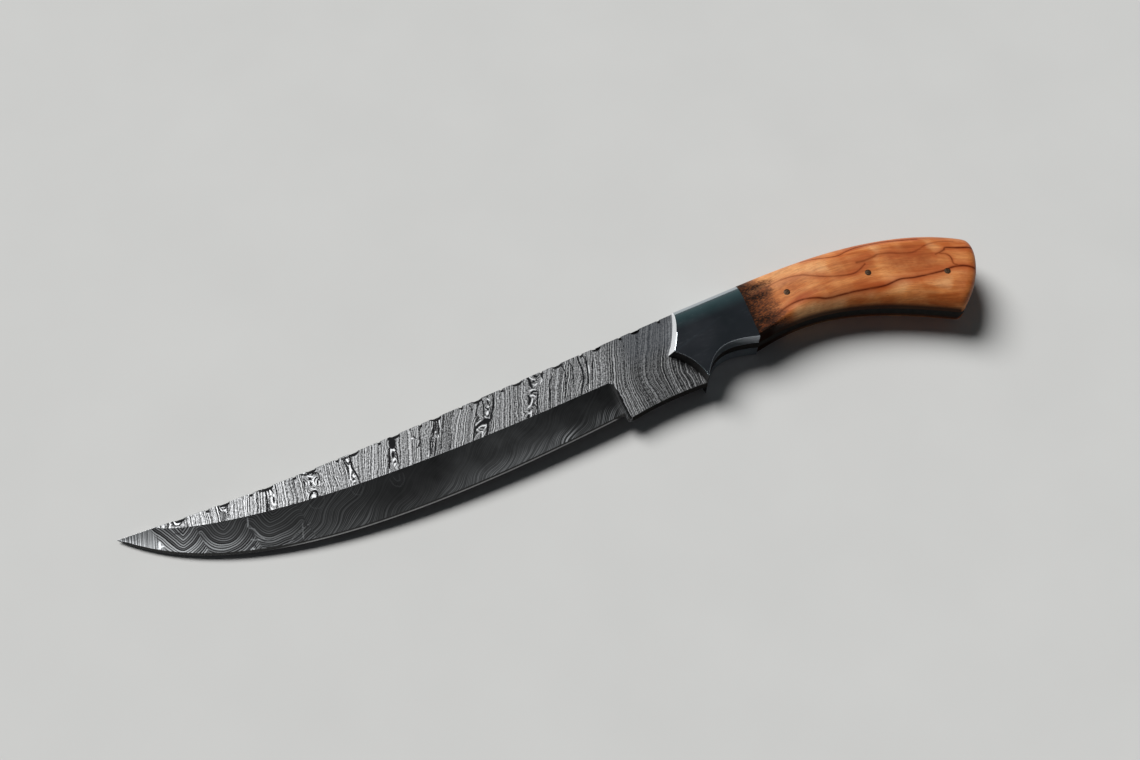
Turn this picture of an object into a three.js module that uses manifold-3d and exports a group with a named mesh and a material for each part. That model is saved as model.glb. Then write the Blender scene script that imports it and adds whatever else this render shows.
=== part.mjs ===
// Fixed-blade fillet knife with a full tang, two bolsters, two wood scales and pins.
// Millimetres. +X runs from tip to butt, +Y from edge to spine, +Z out of the left side.
// While it is drawn, the origin is where the spine meets the bolster, mid-thickness.
import * as THREE from 'three';
import { mergeVertices } from 'three/addons/utils/BufferGeometryUtils.js';
import Module from 'manifold-3d';

const wasm = await Module();
wasm.setup();

// Blade
const BLADE_LENGTH = 215;        // bolster to tip, along the spine
const TIP_RISE = 2.8;            // tip above the spine line
const SPINE_DROOP = 3.8;         // fall of the spine before it turns up to the tip
const SPINE_TURN = 4.5;          // how late that turn comes
const STOCK_THICKNESS = 3.6;     // ricasso and tang
const TIP_THICKNESS = 2.4;       // spine thickness the taper aims at, at the tip
const RICASSO_LENGTH = 32.2;     // bolster to the start of the plunge
const RICASSO_WIDTH = 32.2;      // spine line to the underside at the heel
const RICASSO_HOLLOW = 1;        // how far that underside curves in
const HEEL_SETBACK = 1.4;        // start of the plunge to the heel step
const HEEL_STEP = 2.7;           // cutting edge above the ricasso underside
const PLUNGE_RADIUS = 3.6;       // run of the grind from nothing to full depth
const PLUNGE_CORNER = 2.6;       // rounding where plunge and grind line meet
const GRIND_DEPTH = 15.2;        // spine to grind line at the plunge
const GRIND_FALL = 2.4;          // how late the grind line leaves that depth
const GRIND_SWEEP = 0.68;        // how steeply it then meets the spine
const GRIND_RUNOUT = 14;         // tip to the place where the grind reaches the spine
const HOLLOW_DEPTH = 0.25;       // sink of the hollow grind below a flat one
const EDGE_THICKNESS = 0.5;      // behind the sharpened edge
const EDGE_BEVEL = 0.9;          // width of the sharpened edge
const APEX_THICKNESS = 0.08;     // the edge itself
const HEEL_PULL = [70, 4.6];     // edge curve leaving the heel, forward and down
const TIP_PULL = [35, 37.5];     // edge curve reaching the tip, back and down

// File work along both corners of the spine
const FILE_PITCH = 16.1;         // one repeat
const FILE_START = 5.8;          // bolster to the first small notch
const FILE_STOP = 20;            // bare spine left at the tip
const SCOOP_OFFSET = 9.8;        // small notch to its scoop
const SCOOP_RADIUS = 2.9;
const SCOOP_DEPTH = 0.85;
const NOTCH_RADIUS = 0.6;
const NOTCH_DEPTH = 0.75;

// Bolsters
const BOLSTER_LENGTH = 26.6;     // along the spine
const BOLSTER_THICKNESS = 5.5;   // each side
const POINT_REACH = 9;           // front point ahead of the spine end
const POINT_DROP = 15.2;         // front point below the spine
const UPPER_HOLLOW = 0.8;        // how far the upper front edge curves in
const LOWER_HOLLOW = 1.6;        // how far the lower front edge curves in
const UPPER_SLOPE = 0.9;         // run of the sloped upper front face at the spine
const POINT_LEAN = [1.3, 1.6];   // front point of the outer face, behind and below
const GUARD_REACH = 0.9;         // guard tip ahead of the spine end
const GUARD_DROP = 31;           // guard tip below the spine
const ARCH_FRONT = [6, 8.2];     // finger arch leaving the guard tip, back and up
const ARCH_REAR = [14.2, 5.1];   // finger arch reaching the scale, ahead and up
const JOINT_SLANT = 2.9;         // lean of the joint between bolster and scale
const TOP_ROUND = 10;            // width of the rounding beside the spine

// Scales
const SCALE_LENGTH = 89;         // joint to butt, along X
const SCALE_THICKNESS = 7.2;     // each side, from mid-handle on
const FRONT_WIDTH = 24.5;        // handle width at the joint
const BUTT_DROP = 19.9;          // upper butt corner below the spine
const BUTT_WIDTH = 31;           // between the butt corners
const BUTT_RAKE = 33.4;          // lean of the butt, in degrees
const BUTT_BULGE = 3.5;          // swell of the butt beyond its corners
const CORNER_RADIUS = 1.8;       // butt corners, seen from the side
const BACK_FRONT = [33.5, 0];    // back curve leaving the joint, back and up
const BACK_REAR = [21, 16.4];    // back curve reaching the butt, ahead and up
const BELLY_FRONT = [25, 2.8];   // belly curve leaving the joint, back and up
const BELLY_REAR = [33, 20.6];   // belly curve reaching the butt, ahead and up
const BELLY_ROUND = 8;           // width of the rounding along the belly
const JOINT_ROUND = 1;           // the same at the joint, where the edge is crisp
const SWELL_LENGTH = 40;         // joint to full thickness and full rounding
const BUTT_ROUND = 3.5;          // length of the rounding at the butt
const BUTT_LOSS = 2.6;           // thickness lost to it

// Pins and fits
const GLUE_LINE = 0.05;          // epoxy film between tang, bolsters and scales
const PIN_DIAMETER = 2.4;
const PIN_CLEARANCE = 0.05;      // around every pin
const PIN_RECESS = 0.1;          // handle pin ends below the wood
const FRONT_PIN_INSET = 16.2;    // joint to the first handle pin
const MIDDLE_PIN_INSET = 47.8;   // joint to the middle handle pin
const REAR_PIN_INSET = 10;       // butt corners to the last handle pin
const PIN_DROPS = [0.8, 2, 2.5]; // handle pins below the middle of the handle
const DOWEL_DIAMETER = 3;
const DOWEL_DEPTH = 3.2;         // dowel length inside each bolster
const DOWEL_END_GAP = 0.3;       // dowel end to the floor of its hole
const DOWEL_BACK = 13;           // both dowels behind the spine end
const DOWEL_DROPS = [6.5, 15.5]; // upper and lower dowel below the spine

// Mesh fineness
const BLADE_STEPS = 34;
const HOLLOW_STEPS = 6;
const RICASSO_STEPS = 6;
const ARCH_STEPS = 16;
const FRONT_STEPS = 10;
const SCALE_STEPS = 22;
const SECTION_STEPS = 18;
const ROUND_STEPS = 12;
const PIN_SIDES = 20;
const FILE_SIDES = 16;

const { clamp, degToRad, lerp, smoothstep } = THREE.MathUtils;
const TANG_FACE = STOCK_THICKNESS / 2;
const SEAT = TANG_FACE + GLUE_LINE;
const HALF_EDGE = EDGE_THICKNESS / 2;
const vec = (x, y) => new THREE.Vector2(x, y);

// Curves of the side view
const tip = vec(-BLADE_LENGTH, TIP_RISE);
const heel = vec(-RICASSO_LENGTH - HEEL_SETBACK, HEEL_STEP - RICASSO_WIDTH);
const guardTip = vec(-GUARD_REACH, -GUARD_DROP);
const frontPoint = vec(-POINT_REACH, -POINT_DROP);
const jointTop = vec(BOLSTER_LENGTH, 0);
const jointFoot = vec(BOLSTER_LENGTH - JOINT_SLANT, -FRONT_WIDTH);
const buttTop = vec(BOLSTER_LENGTH + SCALE_LENGTH, -BUTT_DROP);
const rake = degToRad(BUTT_RAKE);
const buttFoot = vec(buttTop.x - BUTT_WIDTH * Math.sin(rake), buttTop.y - BUTT_WIDTH * Math.cos(rake));

function cubic(from, pullFrom, pullTo, to) {
  const first = vec(from.x + pullFrom[0], from.y + pullFrom[1]);
  const second = vec(to.x + pullTo[0], to.y + pullTo[1]);
  return new THREE.CubicBezierCurve(from, first, second, to);
}

const edgeCurve = cubic(heel, [-HEEL_PULL[0], -HEEL_PULL[1]], [TIP_PULL[0], -TIP_PULL[1]], tip);
const archCurve = cubic(guardTip, ARCH_FRONT, [-ARCH_REAR[0], ARCH_REAR[1]], jointFoot);
const backCurve = cubic(jointTop, BACK_FRONT, [-BACK_REAR[0], BACK_REAR[1]], buttTop);
const bellyCurve = cubic(jointFoot, BELLY_FRONT, [-BELLY_REAR[0], BELLY_REAR[1]], buttFoot);

function spineY(x) {
  const along = clamp(-x / BLADE_LENGTH, 0, 1);
  return (TIP_RISE + SPINE_DROOP) * along ** SPINE_TURN - SPINE_DROOP * along;
}

function undersideY(x) {
  const along = (x - guardTip.x) / (heel.x - guardTip.x);
  return lerp(guardTip.y, -RICASSO_WIDTH, along) + 4 * RICASSO_HOLLOW * along * (1 - along);
}

function grindY(x) {
  const length = BLADE_LENGTH - GRIND_RUNOUT - RICASSO_LENGTH;
  const along = clamp((-x - RICASSO_LENGTH) / length, 0, 1);
  const ahead = clamp((-x - RICASSO_LENGTH) / PLUNGE_CORNER, 0, 1);
  const corner = PLUNGE_CORNER * (1 - Math.sqrt(1 - (1 - ahead) ** 2));
  return spineY(x) - GRIND_DEPTH * (1 - along ** GRIND_FALL) ** GRIND_SWEEP - corner;
}

// Edge height at the runout, for thinning the spine from there to the tip
const runoutX = GRIND_RUNOUT - BLADE_LENGTH;
const runoutWidth = spineY(runoutX) - edgeCurve.getPoints(200).find((p) => p.x < runoutX).y;

function flatHalf(x, lowY) {
  const along = clamp((-x - RICASSO_LENGTH) / (BLADE_LENGTH - RICASSO_LENGTH), 0, 1);
  const tapered = lerp(STOCK_THICKNESS, TIP_THICKNESS, along) / 2;
  return x < runoutX ? lerp(HALF_EDGE, tapered, (spineY(x) - lowY) / runoutWidth) : tapered;
}

// One side of a blade section: spine corner, grind line, hollow, sharpened edge
function bladeSide(x, lowY) {
  const topY = spineY(x);
  const flat = flatHalf(x, lowY);
  const rise = clamp((-x - RICASSO_LENGTH) / PLUNGE_RADIUS, 0, 1);
  const ground = Math.sqrt(1 - (1 - rise) ** 2);
  const hollow = HOLLOW_DEPTH * (flat - HALF_EDGE) / (TANG_FACE - HALF_EDGE);
  const startY = Math.max(grindY(x), lowY + 0.6 * (topY - lowY) * (x < runoutX ? 1 : 0));
  const bevelY = lowY + Math.min(EDGE_BEVEL, 0.3 * (topY - lowY));
  const side = [vec(topY, flat), vec((topY + startY) / 2, flat)];
  for (let step = 0; step <= HOLLOW_STEPS; step++) {
    const part = step / HOLLOW_STEPS;
    const cut = part * (flat - HALF_EDGE) + 4 * part * (1 - part) * hollow;
    side.push(vec(lerp(startY, bevelY, part), flat - ground * cut));
  }
  side.push(vec(lowY, lerp(flat, APEX_THICKNESS / 2, ground)));
  return side.map((p) => new THREE.Vector3(x, p.x, p.y));
}

const SIDE_POINTS = HOLLOW_STEPS + 4;

// One side of a tang section between two points of the outline
function tangSide(pointAt) {
  const side = [];
  for (let step = 0; step < SIDE_POINTS; step++) {
    const p = pointAt(1 - 2 * step / (SIDE_POINTS - 1));
    side.push(new THREE.Vector3(p.x, p.y, TANG_FACE));
  }
  return side;
}

const between = (low, high) => (t) => low.clone().lerp(high, (t + 1) / 2);

// Side view of the handle: s from joint to butt, t from belly to back
const backLength = backCurve.getLength();

function handlePoint(s, t) {
  const high = backCurve.getPointAt(s);
  const low = bellyCurve.getPointAt(s);
  const across = high.clone().sub(low);
  const turn = clamp(1 - (1 - s) * backLength / CORNER_RADIUS, 0, 1);
  const trim = (CORNER_RADIUS / across.length()) * (1 - Math.sqrt(1 - turn * turn));
  const u = t * (1 - 2 * trim);
  const swell = BUTT_BULGE * s ** 3 * (1 - u * u);
  const out = vec(across.y, -across.x).normalize();
  return low.addScaledVector(across, (u + 1) / 2).addScaledVector(out, swell);
}

const handleWidth = (s) => backCurve.getPointAt(s).distanceTo(bellyCurve.getPointAt(s));
const rounded = (distance, width) => Math.sqrt(1 - (1 - clamp(distance / width, 0, 1)) ** 2);

// Height of the scale above its seat
function scaleHeight(s, t) {
  const width = handleWidth(s);
  const swell = smoothstep(s * backLength, 0, SWELL_LENGTH);
  const full = lerp(BOLSTER_THICKNESS, SCALE_THICKNESS, swell);
  const bellyRound = lerp(JOINT_ROUND, BELLY_ROUND, swell);
  const fromBack = width * (1 - t) / 2;
  const fromBelly = width * (1 + t) / 2;
  const turn = clamp(1 - (1 - s) * backLength / BUTT_ROUND, 0, 1);
  const end = 1 - (BUTT_LOSS / full) * (1 - Math.sqrt(1 - turn * turn));
  return full * end * Math.min(rounded(fromBack, TOP_ROUND), rounded(fromBelly, bellyRound));
}

// Closed skin through rings that hold the same number of points
function loft(rings) {
  const count = rings[0].length;
  const points = rings.flat();
  const index = [];
  for (let ring = 0; ring + 1 < rings.length; ring++) {
    for (let k = 0; k < count; k++) {
      const a = ring * count + k;
      const b = ring * count + (k + 1) % count;
      index.push(a, b, b + count, a, b + count, a + count);
    }
  }
  for (const [ring, flip] of [[0, true], [rings.length - 1, false]]) {
    const middle = new THREE.Vector3();
    rings[ring].forEach((p) => middle.addScaledVector(p, 1 / count));
    points.push(middle);
    for (let k = 0; k < count; k++) {
      const a = ring * count + k;
      const b = ring * count + (k + 1) % count;
      index.push(...(flip ? [b, a, points.length - 1] : [a, b, points.length - 1]));
    }
  }
  const geometry = new THREE.BufferGeometry().setFromPoints(points);
  geometry.setIndex(index);
  return geometry;
}

// Solid between two outlines that hold the same number of points
function draftedPrism(lowOutline, highOutline, lowZ, highZ) {
  const count = lowOutline.length;
  const points = [
    ...lowOutline.map((p) => new THREE.Vector3(p.x, p.y, lowZ)),
    ...highOutline.map((p) => new THREE.Vector3(p.x, p.y, highZ)),
  ];
  const index = [];
  for (let k = 0; k < count; k++) {
    const next = (k + 1) % count;
    index.push(k, next, next + count, k, next + count, k + count);
  }
  for (const [a, b, c] of THREE.ShapeUtils.triangulateShape(lowOutline, [])) {
    index.push(a, c, b);
  }
  for (const [a, b, c] of THREE.ShapeUtils.triangulateShape(highOutline, [])) {
    index.push(a + count, b + count, c + count);
  }
  const geometry = new THREE.BufferGeometry().setFromPoints(points);
  geometry.setIndex(index);
  return geometry;
}

function solid(geometry) {
  const bare = geometry.clone();
  for (const name of Object.keys(bare.attributes).filter((key) => key !== 'position')) {
    bare.deleteAttribute(name);
  }
  const welded = mergeVertices(bare, 1e-5);
  const mesh = new wasm.Mesh({
    numProp: 3,
    vertProperties: new Float32Array(welded.attributes.position.array),
    triVerts: new Uint32Array(welded.index.array),
  });
  return new wasm.Manifold(mesh);
}

function geometryOf(manifold) {
  const mesh = manifold.getMesh();
  const geometry = new THREE.BufferGeometry();
  geometry.setAttribute('position', new THREE.BufferAttribute(mesh.vertProperties, 3));
  geometry.setIndex(new THREE.BufferAttribute(mesh.triVerts, 1));
  const flat = geometry.toNonIndexed();
  flat.computeVertexNormals();
  return flat;
}

const cut = (body, cutters) => cutters.reduce((left, cutter) => left.subtract(cutter), body);

function rod(diameter, length, x, y, z) {
  const geometry = new THREE.CylinderGeometry(diameter / 2, diameter / 2, length, PIN_SIDES);
  return geometry.rotateX(Math.PI / 2).translate(x, y, z);
}

const boreFor = (diameter) => diameter + 2 * PIN_CLEARANCE;

// Places of the pins
const middleLength = (backLength + bellyCurve.getLength()) / 2;

function handlePin(name, inset, drop) {
  const s = inset / middleLength;
  const t = -2 * drop / handleWidth(s);
  return { name, at: handlePoint(s, t), half: SEAT + scaleHeight(s, t) - PIN_RECESS };
}

const handlePins = [
  handlePin('handle_pin_front', FRONT_PIN_INSET, PIN_DROPS[0]),
  handlePin('handle_pin_middle', MIDDLE_PIN_INSET, PIN_DROPS[1]),
  handlePin('handle_pin_rear', middleLength - REAR_PIN_INSET, PIN_DROPS[2]),
];
const dowels = [
  { name: 'bolster_pin_upper', at: vec(DOWEL_BACK, -DOWEL_DROPS[0]) },
  { name: 'bolster_pin_lower', at: vec(DOWEL_BACK, -DOWEL_DROPS[1]) },
];

// Round file held across one corner of the spine
function fileCut(x, radius, depth, side) {
  const away = radius - depth;
  const geometry = new THREE.CylinderGeometry(radius, radius, 4 * STOCK_THICKNESS, FILE_SIDES);
  geometry.rotateX(side * -Math.PI / 4);
  const half = flatHalf(x, -Infinity);
  return geometry.translate(x, spineY(x) + away * Math.SQRT1_2, side * (half + away * Math.SQRT1_2));
}

function fileWork() {
  const cutters = [];
  for (const side of [1, -1]) {
    const shift = side > 0 ? 0 : FILE_PITCH / 2;
    for (let back = FILE_START + shift; back < BLADE_LENGTH - FILE_STOP; back += FILE_PITCH) {
      cutters.push(fileCut(-back, NOTCH_RADIUS, NOTCH_DEPTH, side));
      cutters.push(fileCut(-back - SCOOP_OFFSET, SCOOP_RADIUS, SCOOP_DEPTH, side));
    }
  }
  return cutters.map(solid);
}

function bladeBody() {
  const sides = [];
  for (let step = BLADE_STEPS; step > 0; step--) {
    const p = edgeCurve.getPoint(0.998 * step / BLADE_STEPS);
    sides.push(bladeSide(p.x, p.y));
  }
  for (const share of [1, 0.7, 0.35]) {
    const ahead = share * (PLUNGE_RADIUS - HEEL_SETBACK);
    const p = edgeCurve.getPoint(ahead / (3 * HEEL_PULL[0]));
    sides.push(bladeSide(p.x, p.y));
  }
  sides.push(bladeSide(heel.x, heel.y));
  for (const share of [0.75, 0.45, 0.2, 0]) {
    const x = -RICASSO_LENGTH - HEEL_SETBACK * share;
    sides.push(bladeSide(x, undersideY(x)));
  }
  for (let step = 1; step <= RICASSO_STEPS; step++) {
    const x = lerp(-RICASSO_LENGTH, guardTip.x, step / RICASSO_STEPS);
    sides.push(tangSide(between(vec(x, undersideY(x)), vec(x, spineY(x)))));
  }
  for (let step = 1; step <= ARCH_STEPS; step++) {
    const high = vec(BOLSTER_LENGTH * step / ARCH_STEPS, 0);
    sides.push(tangSide(between(archCurve.getPoint(step / ARCH_STEPS), high)));
  }
  for (const s of scaleStations().slice(1)) {
    sides.push(tangSide((t) => handlePoint(s, t)));
  }
  const rings = sides.map((side) => {
    const under = side.map((p) => new THREE.Vector3(p.x, p.y, -p.z)).reverse();
    return [...side, ...under];
  });
  const holes = [
    ...handlePins.map((pin) => rod(boreFor(PIN_DIAMETER), 3 * STOCK_THICKNESS, pin.at.x, pin.at.y, 0)),
    ...dowels.map((pin) => rod(boreFor(DOWEL_DIAMETER), 3 * STOCK_THICKNESS, pin.at.x, pin.at.y, 0)),
  ];
  return cut(solid(loft(rings)), [...fileWork(), ...holes.map(solid)]);
}

// Even steps along the scale, closer together at the butt
function scaleStations() {
  const stations = [];
  const last = 1 - BUTT_ROUND / backLength;
  for (let step = 0; step <= SCALE_STEPS; step++) {
    stations.push(last * step / SCALE_STEPS);
  }
  for (const share of [0.4, 0.7, 0.9, 1]) {
    stations.push(lerp(last, 1, share));
  }
  return stations;
}

function scaleBody() {
  const rings = scaleStations().map((s) => {
    const over = [];
    const under = [];
    for (let step = 0; step <= SECTION_STEPS; step++) {
      const t = Math.cos(Math.PI * step / SECTION_STEPS);
      const p = handlePoint(s, t);
      over.push(new THREE.Vector3(p.x, p.y, SEAT + scaleHeight(s, t)));
      under.unshift(new THREE.Vector3(p.x, p.y, SEAT));
    }
    return [...over, ...under.slice(1, -1)];
  });
  rings[0].forEach((p) => p.setX(p.x + GLUE_LINE));
  const depth = 4 * SCALE_THICKNESS;
  const holes = handlePins.map((pin) => rod(boreFor(PIN_DIAMETER), depth, pin.at.x, pin.at.y, SEAT));
  return cut(solid(loft(rings)), holes.map(solid));
}

// Side view of the bolster, with its front faces leaned back by a share of their slope
function bolsterOutline(lean) {
  const top = vec(UPPER_SLOPE * lean, 0);
  const point = vec(frontPoint.x + POINT_LEAN[0] * lean, frontPoint.y - POINT_LEAN[1] * lean);
  const bend = (a, b, hollow) => {
    const across = vec(a.y - b.y, b.x - a.x).normalize();
    const middle = a.clone().lerp(b, 0.5).addScaledVector(across, 2 * hollow);
    return new THREE.QuadraticBezierCurve(a, middle, b);
  };
  const upper = bend(top, point, UPPER_HOLLOW).getPoints(FRONT_STEPS);
  const lower = bend(point, guardTip, LOWER_HOLLOW).getPoints(FRONT_STEPS);
  const arch = archCurve.getPoints(ARCH_STEPS).slice(1);
  return [...upper.slice(0, -1), ...lower, ...arch, jointTop];
}

function bolsterBody() {
  const section = new THREE.Shape();
  const roof = SEAT + BOLSTER_THICKNESS;
  section.moveTo(0, SEAT - 1);
  section.lineTo(0, SEAT);
  section.absellipse(-TOP_ROUND, SEAT, TOP_ROUND, BOLSTER_THICKNESS, 0, Math.PI / 2);
  section.lineTo(-2 * GUARD_DROP, roof);
  section.lineTo(-2 * GUARD_DROP, SEAT - 1);
  const reach = 2 * (POINT_REACH + BOLSTER_LENGTH);
  const options = { depth: reach, bevelEnabled: false, curveSegments: ROUND_STEPS };
  const envelope = new THREE.ExtrudeGeometry(section, options);
  envelope.applyMatrix4(new THREE.Matrix4().makeBasis(
    new THREE.Vector3(0, 1, 0), new THREE.Vector3(0, 0, 1), new THREE.Vector3(1, 0, 0)));
  envelope.translate(-2 * POINT_REACH, 0, 0);
  const overshoot = 1.2;
  const highZ = SEAT + overshoot * BOLSTER_THICKNESS;
  const prism = draftedPrism(bolsterOutline(0), bolsterOutline(overshoot), SEAT, highZ);
  const depth = 2 * (DOWEL_DEPTH + DOWEL_END_GAP);
  const holes = dowels.map((pin) => rod(boreFor(DOWEL_DIAMETER), depth, pin.at.x, pin.at.y, SEAT));
  return cut(solid(prism).intersect(solid(envelope)), holes.map(solid));
}

const damascus = new THREE.MeshStandardMaterial({ color: 0x8d8f93, roughness: 0.42, metalness: 0.9 });
const polished = new THREE.MeshStandardMaterial({ color: 0xb9bdc2, roughness: 0.08, metalness: 1 });
const wood = new THREE.MeshStandardMaterial({ color: 0xa5642e, roughness: 0.45, metalness: 0 });
const darkSteel = new THREE.MeshStandardMaterial({ color: 0x3b2a20, roughness: 0.4, metalness: 0.8 });

function part(name, geometry, material) {
  const mesh = new THREE.Mesh(geometry, material.clone());
  mesh.name = name;
  return mesh;
}

const knife = new THREE.Group();
knife.add(part('blade', geometryOf(bladeBody()), damascus));

const bolsterShape = geometryOf(bolsterBody());
const scaleShape = geometryOf(scaleBody());
for (const [side, sign] of [['left', 1], ['right', -1]]) {
  const half = new THREE.Group();
  half.scale.z = sign;
  half.add(part(`bolster_${side}`, bolsterShape, polished));
  half.add(part(`scale_${side}`, scaleShape, wood));
  knife.add(half);
}
for (const pin of handlePins) {
  knife.add(part(pin.name, rod(PIN_DIAMETER, 2 * pin.half, pin.at.x, pin.at.y, 0), darkSteel));
}
for (const pin of dowels) {
  const length = 2 * (SEAT + DOWEL_DEPTH);
  knife.add(part(pin.name, rod(DOWEL_DIAMETER, length, pin.at.x, pin.at.y, 0), darkSteel));
}

// Origin at the middle of the underside of the bounding box
knife.updateMatrixWorld(true);
const box = new THREE.Box3().setFromObject(knife, true);
const centre = box.getCenter(new THREE.Vector3());
knife.position.set(-centre.x, -centre.y, -box.min.z);

const root = new THREE.Group();
root.name = 'fillet_knife';
root.add(knife);
export default root;
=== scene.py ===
"""Fillet knife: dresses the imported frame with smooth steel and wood, lights it and sets the camera."""
import math

import bmesh
import bpy
import numpy as np
from mathutils import Matrix, Vector


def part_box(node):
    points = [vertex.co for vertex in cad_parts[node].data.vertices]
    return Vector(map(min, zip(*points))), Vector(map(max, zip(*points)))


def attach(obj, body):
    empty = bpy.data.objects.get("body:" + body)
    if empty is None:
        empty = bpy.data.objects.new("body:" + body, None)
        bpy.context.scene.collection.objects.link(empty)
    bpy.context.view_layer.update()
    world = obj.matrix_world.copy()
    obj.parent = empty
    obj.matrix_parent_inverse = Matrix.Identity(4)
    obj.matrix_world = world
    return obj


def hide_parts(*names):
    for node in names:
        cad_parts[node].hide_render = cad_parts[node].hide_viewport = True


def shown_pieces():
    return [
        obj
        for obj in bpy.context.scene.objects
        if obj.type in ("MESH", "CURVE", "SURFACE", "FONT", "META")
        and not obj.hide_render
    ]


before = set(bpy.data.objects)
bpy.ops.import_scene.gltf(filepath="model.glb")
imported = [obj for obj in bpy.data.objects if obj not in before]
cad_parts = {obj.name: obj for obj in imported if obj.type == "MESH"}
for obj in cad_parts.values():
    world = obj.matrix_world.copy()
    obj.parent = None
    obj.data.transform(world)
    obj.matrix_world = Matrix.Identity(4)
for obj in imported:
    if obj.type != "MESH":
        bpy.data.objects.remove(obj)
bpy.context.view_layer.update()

MM = 0.001

# Sizes of the part, in millimetres from where the spine meets the bolster, mid-thickness
BLADE_LENGTH = 215.0
TIP_RISE, SPINE_DROOP, SPINE_TURN = 2.8, 3.8, 4.5
STOCK_THICKNESS, TIP_THICKNESS = 3.6, 2.4
RICASSO_LENGTH, RICASSO_WIDTH, RICASSO_HOLLOW = 32.2, 32.2, 1.0
HEEL_SETBACK, HEEL_STEP = 1.4, 2.7
PLUNGE_RADIUS, PLUNGE_CORNER = 3.6, 2.6
GRIND_DEPTH, GRIND_FALL, GRIND_SWEEP, GRIND_RUNOUT = 15.2, 2.4, 0.68, 14.0
HOLLOW_DEPTH, EDGE_THICKNESS, EDGE_BEVEL, APEX_THICKNESS = 0.25, 0.5, 0.9, 0.08
HEEL_PULL, TIP_PULL = (70.0, 4.6), (35.0, 37.5)
FILE_PITCH, FILE_START, FILE_STOP, SCOOP_OFFSET = 16.1, 5.8, 20.0, 9.8
SCOOP_RADIUS, SCOOP_DEPTH, NOTCH_RADIUS, NOTCH_DEPTH = 2.9, 0.85, 0.6, 0.75
BOLSTER_LENGTH, BOLSTER_THICKNESS = 26.6, 5.5
POINT_REACH, POINT_DROP, POINT_LEAN = 9.0, 15.2, (1.3, 1.6)
UPPER_HOLLOW, LOWER_HOLLOW, UPPER_SLOPE = 0.8, 1.6, 0.9
GUARD_REACH, GUARD_DROP = 0.9, 31.0
ARCH_FRONT, ARCH_REAR = (6.0, 8.2), (14.2, 5.1)
JOINT_SLANT, TOP_ROUND = 2.9, 10.0
SCALE_LENGTH, SCALE_THICKNESS, FRONT_WIDTH = 89.0, 7.2, 24.5
BUTT_DROP, BUTT_WIDTH, BUTT_RAKE, BUTT_BULGE = 19.9, 31.0, 33.4, 3.5
CORNER_RADIUS = 1.8
BACK_FRONT, BACK_REAR = (33.5, 0.0), (21.0, 16.4)
BELLY_FRONT, BELLY_REAR = (25.0, 2.8), (33.0, 20.6)
BELLY_ROUND, JOINT_ROUND, SWELL_LENGTH = 8.0, 1.0, 40.0
BUTT_ROUND, BUTT_LOSS = 3.5, 2.6
GLUE_LINE, PIN_DIAMETER, PIN_CLEARANCE, PIN_RECESS = 0.05, 2.4, 0.05, 0.1
FRONT_PIN_INSET, MIDDLE_PIN_INSET, REAR_PIN_INSET = 16.2, 47.8, 10.0
PIN_DROPS = (0.8, 2.0, 2.5)

# Broken edges that only the dressed pieces have: the spine's corners and the bolsters' rims
SPINE_BREAK = 0.08
EDGE_ROUND = 0.22

# Most that the flat, the edge bevel and the file work take of a thin section near the tip
TIP_FLAT_SHARE, BEVEL_SHARE, CHAMFER_SHARE = 0.6, 0.3, 0.6

# Fineness of the meshes, and the angles in degrees above which an edge stays sharp
STATION_STEP, PLUNGE_STEP = 0.22, 0.1
TIP_GAP, PLUNGE_LEAD, HEEL_GAP, RICASSO_GAP = 0.1, 0.4, 0.12, 0.3
HEEL_RINGS, RICASSO_RINGS, ARCH_RINGS, TANG_RINGS = 14, 100, 48, 120
FLAT_POINTS, HOLLOW_POINTS = 60, 36
BOLSTER_RINGS, UPPER_COUNT, LOWER_COUNT, ARCH_COUNT, JOINT_COUNT, TOP_COUNT = 48, 32, 28, 60, 20, 40
SCALE_RINGS, BUTT_RINGS, OVER_POINTS, UNDER_POINTS = 330, 14, 150, 6
PIN_SIDES, PATH_STEPS, CURVE_STEPS, SEARCH_STEPS = 48, 24, 2000, 400
BLADE_CREASE, BOLSTER_CREASE, SCALE_CREASE, PIN_CREASE = 24, 28, 40, 35

TANG_FACE = STOCK_THICKNESS / 2
SEAT = TANG_FACE + GLUE_LINE
HALF_EDGE = EDGE_THICKNESS / 2

# The drawing's origin in the frame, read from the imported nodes
BOLSTER_LOW, BOLSTER_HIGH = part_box("bolster_left")
BLADE_LOW, BLADE_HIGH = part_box("blade")
MID_HEIGHT = (BLADE_LOW.z + BLADE_HIGH.z) / 2
ORIGIN = np.array([BOLSTER_LOW.x + POINT_REACH * MM, BOLSTER_HIGH.y, MID_HEIGHT])


def place(points):
    """Drawing millimetres to frame metres."""
    return np.asarray(points, float) * MM + ORIGIN


def smooth(value, low, high):
    t = np.clip((value - low) / (high - low), 0, 1)
    return t * t * (3 - 2 * t)


class Curve:
    """Cubic curve through two ends with a pull at each, read by parameter or by share of its length."""

    def __init__(self, start, pull_start, pull_end, end):
        start, end = np.array(start, float), np.array(end, float)
        self.p = (start, start + pull_start, end + pull_end, end)
        self.points = self.at(np.linspace(0, 1, CURVE_STEPS + 1))
        step = np.linalg.norm(np.diff(self.points, axis=0), axis=1)
        self.run = np.concatenate([[0], np.cumsum(step)])
        self.length = self.run[-1]

    def at(self, t):
        t = np.asarray(t, float)[..., None]
        a, b, c, d = self.p
        return (1 - t) ** 3 * a + 3 * (1 - t) ** 2 * t * b + 3 * (1 - t) * t ** 2 * c + t ** 3 * d

    def along(self, share):
        want = np.asarray(share, float) * self.length
        return np.stack([np.interp(want, self.run, self.points[:, k]) for k in (0, 1)], -1)


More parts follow.
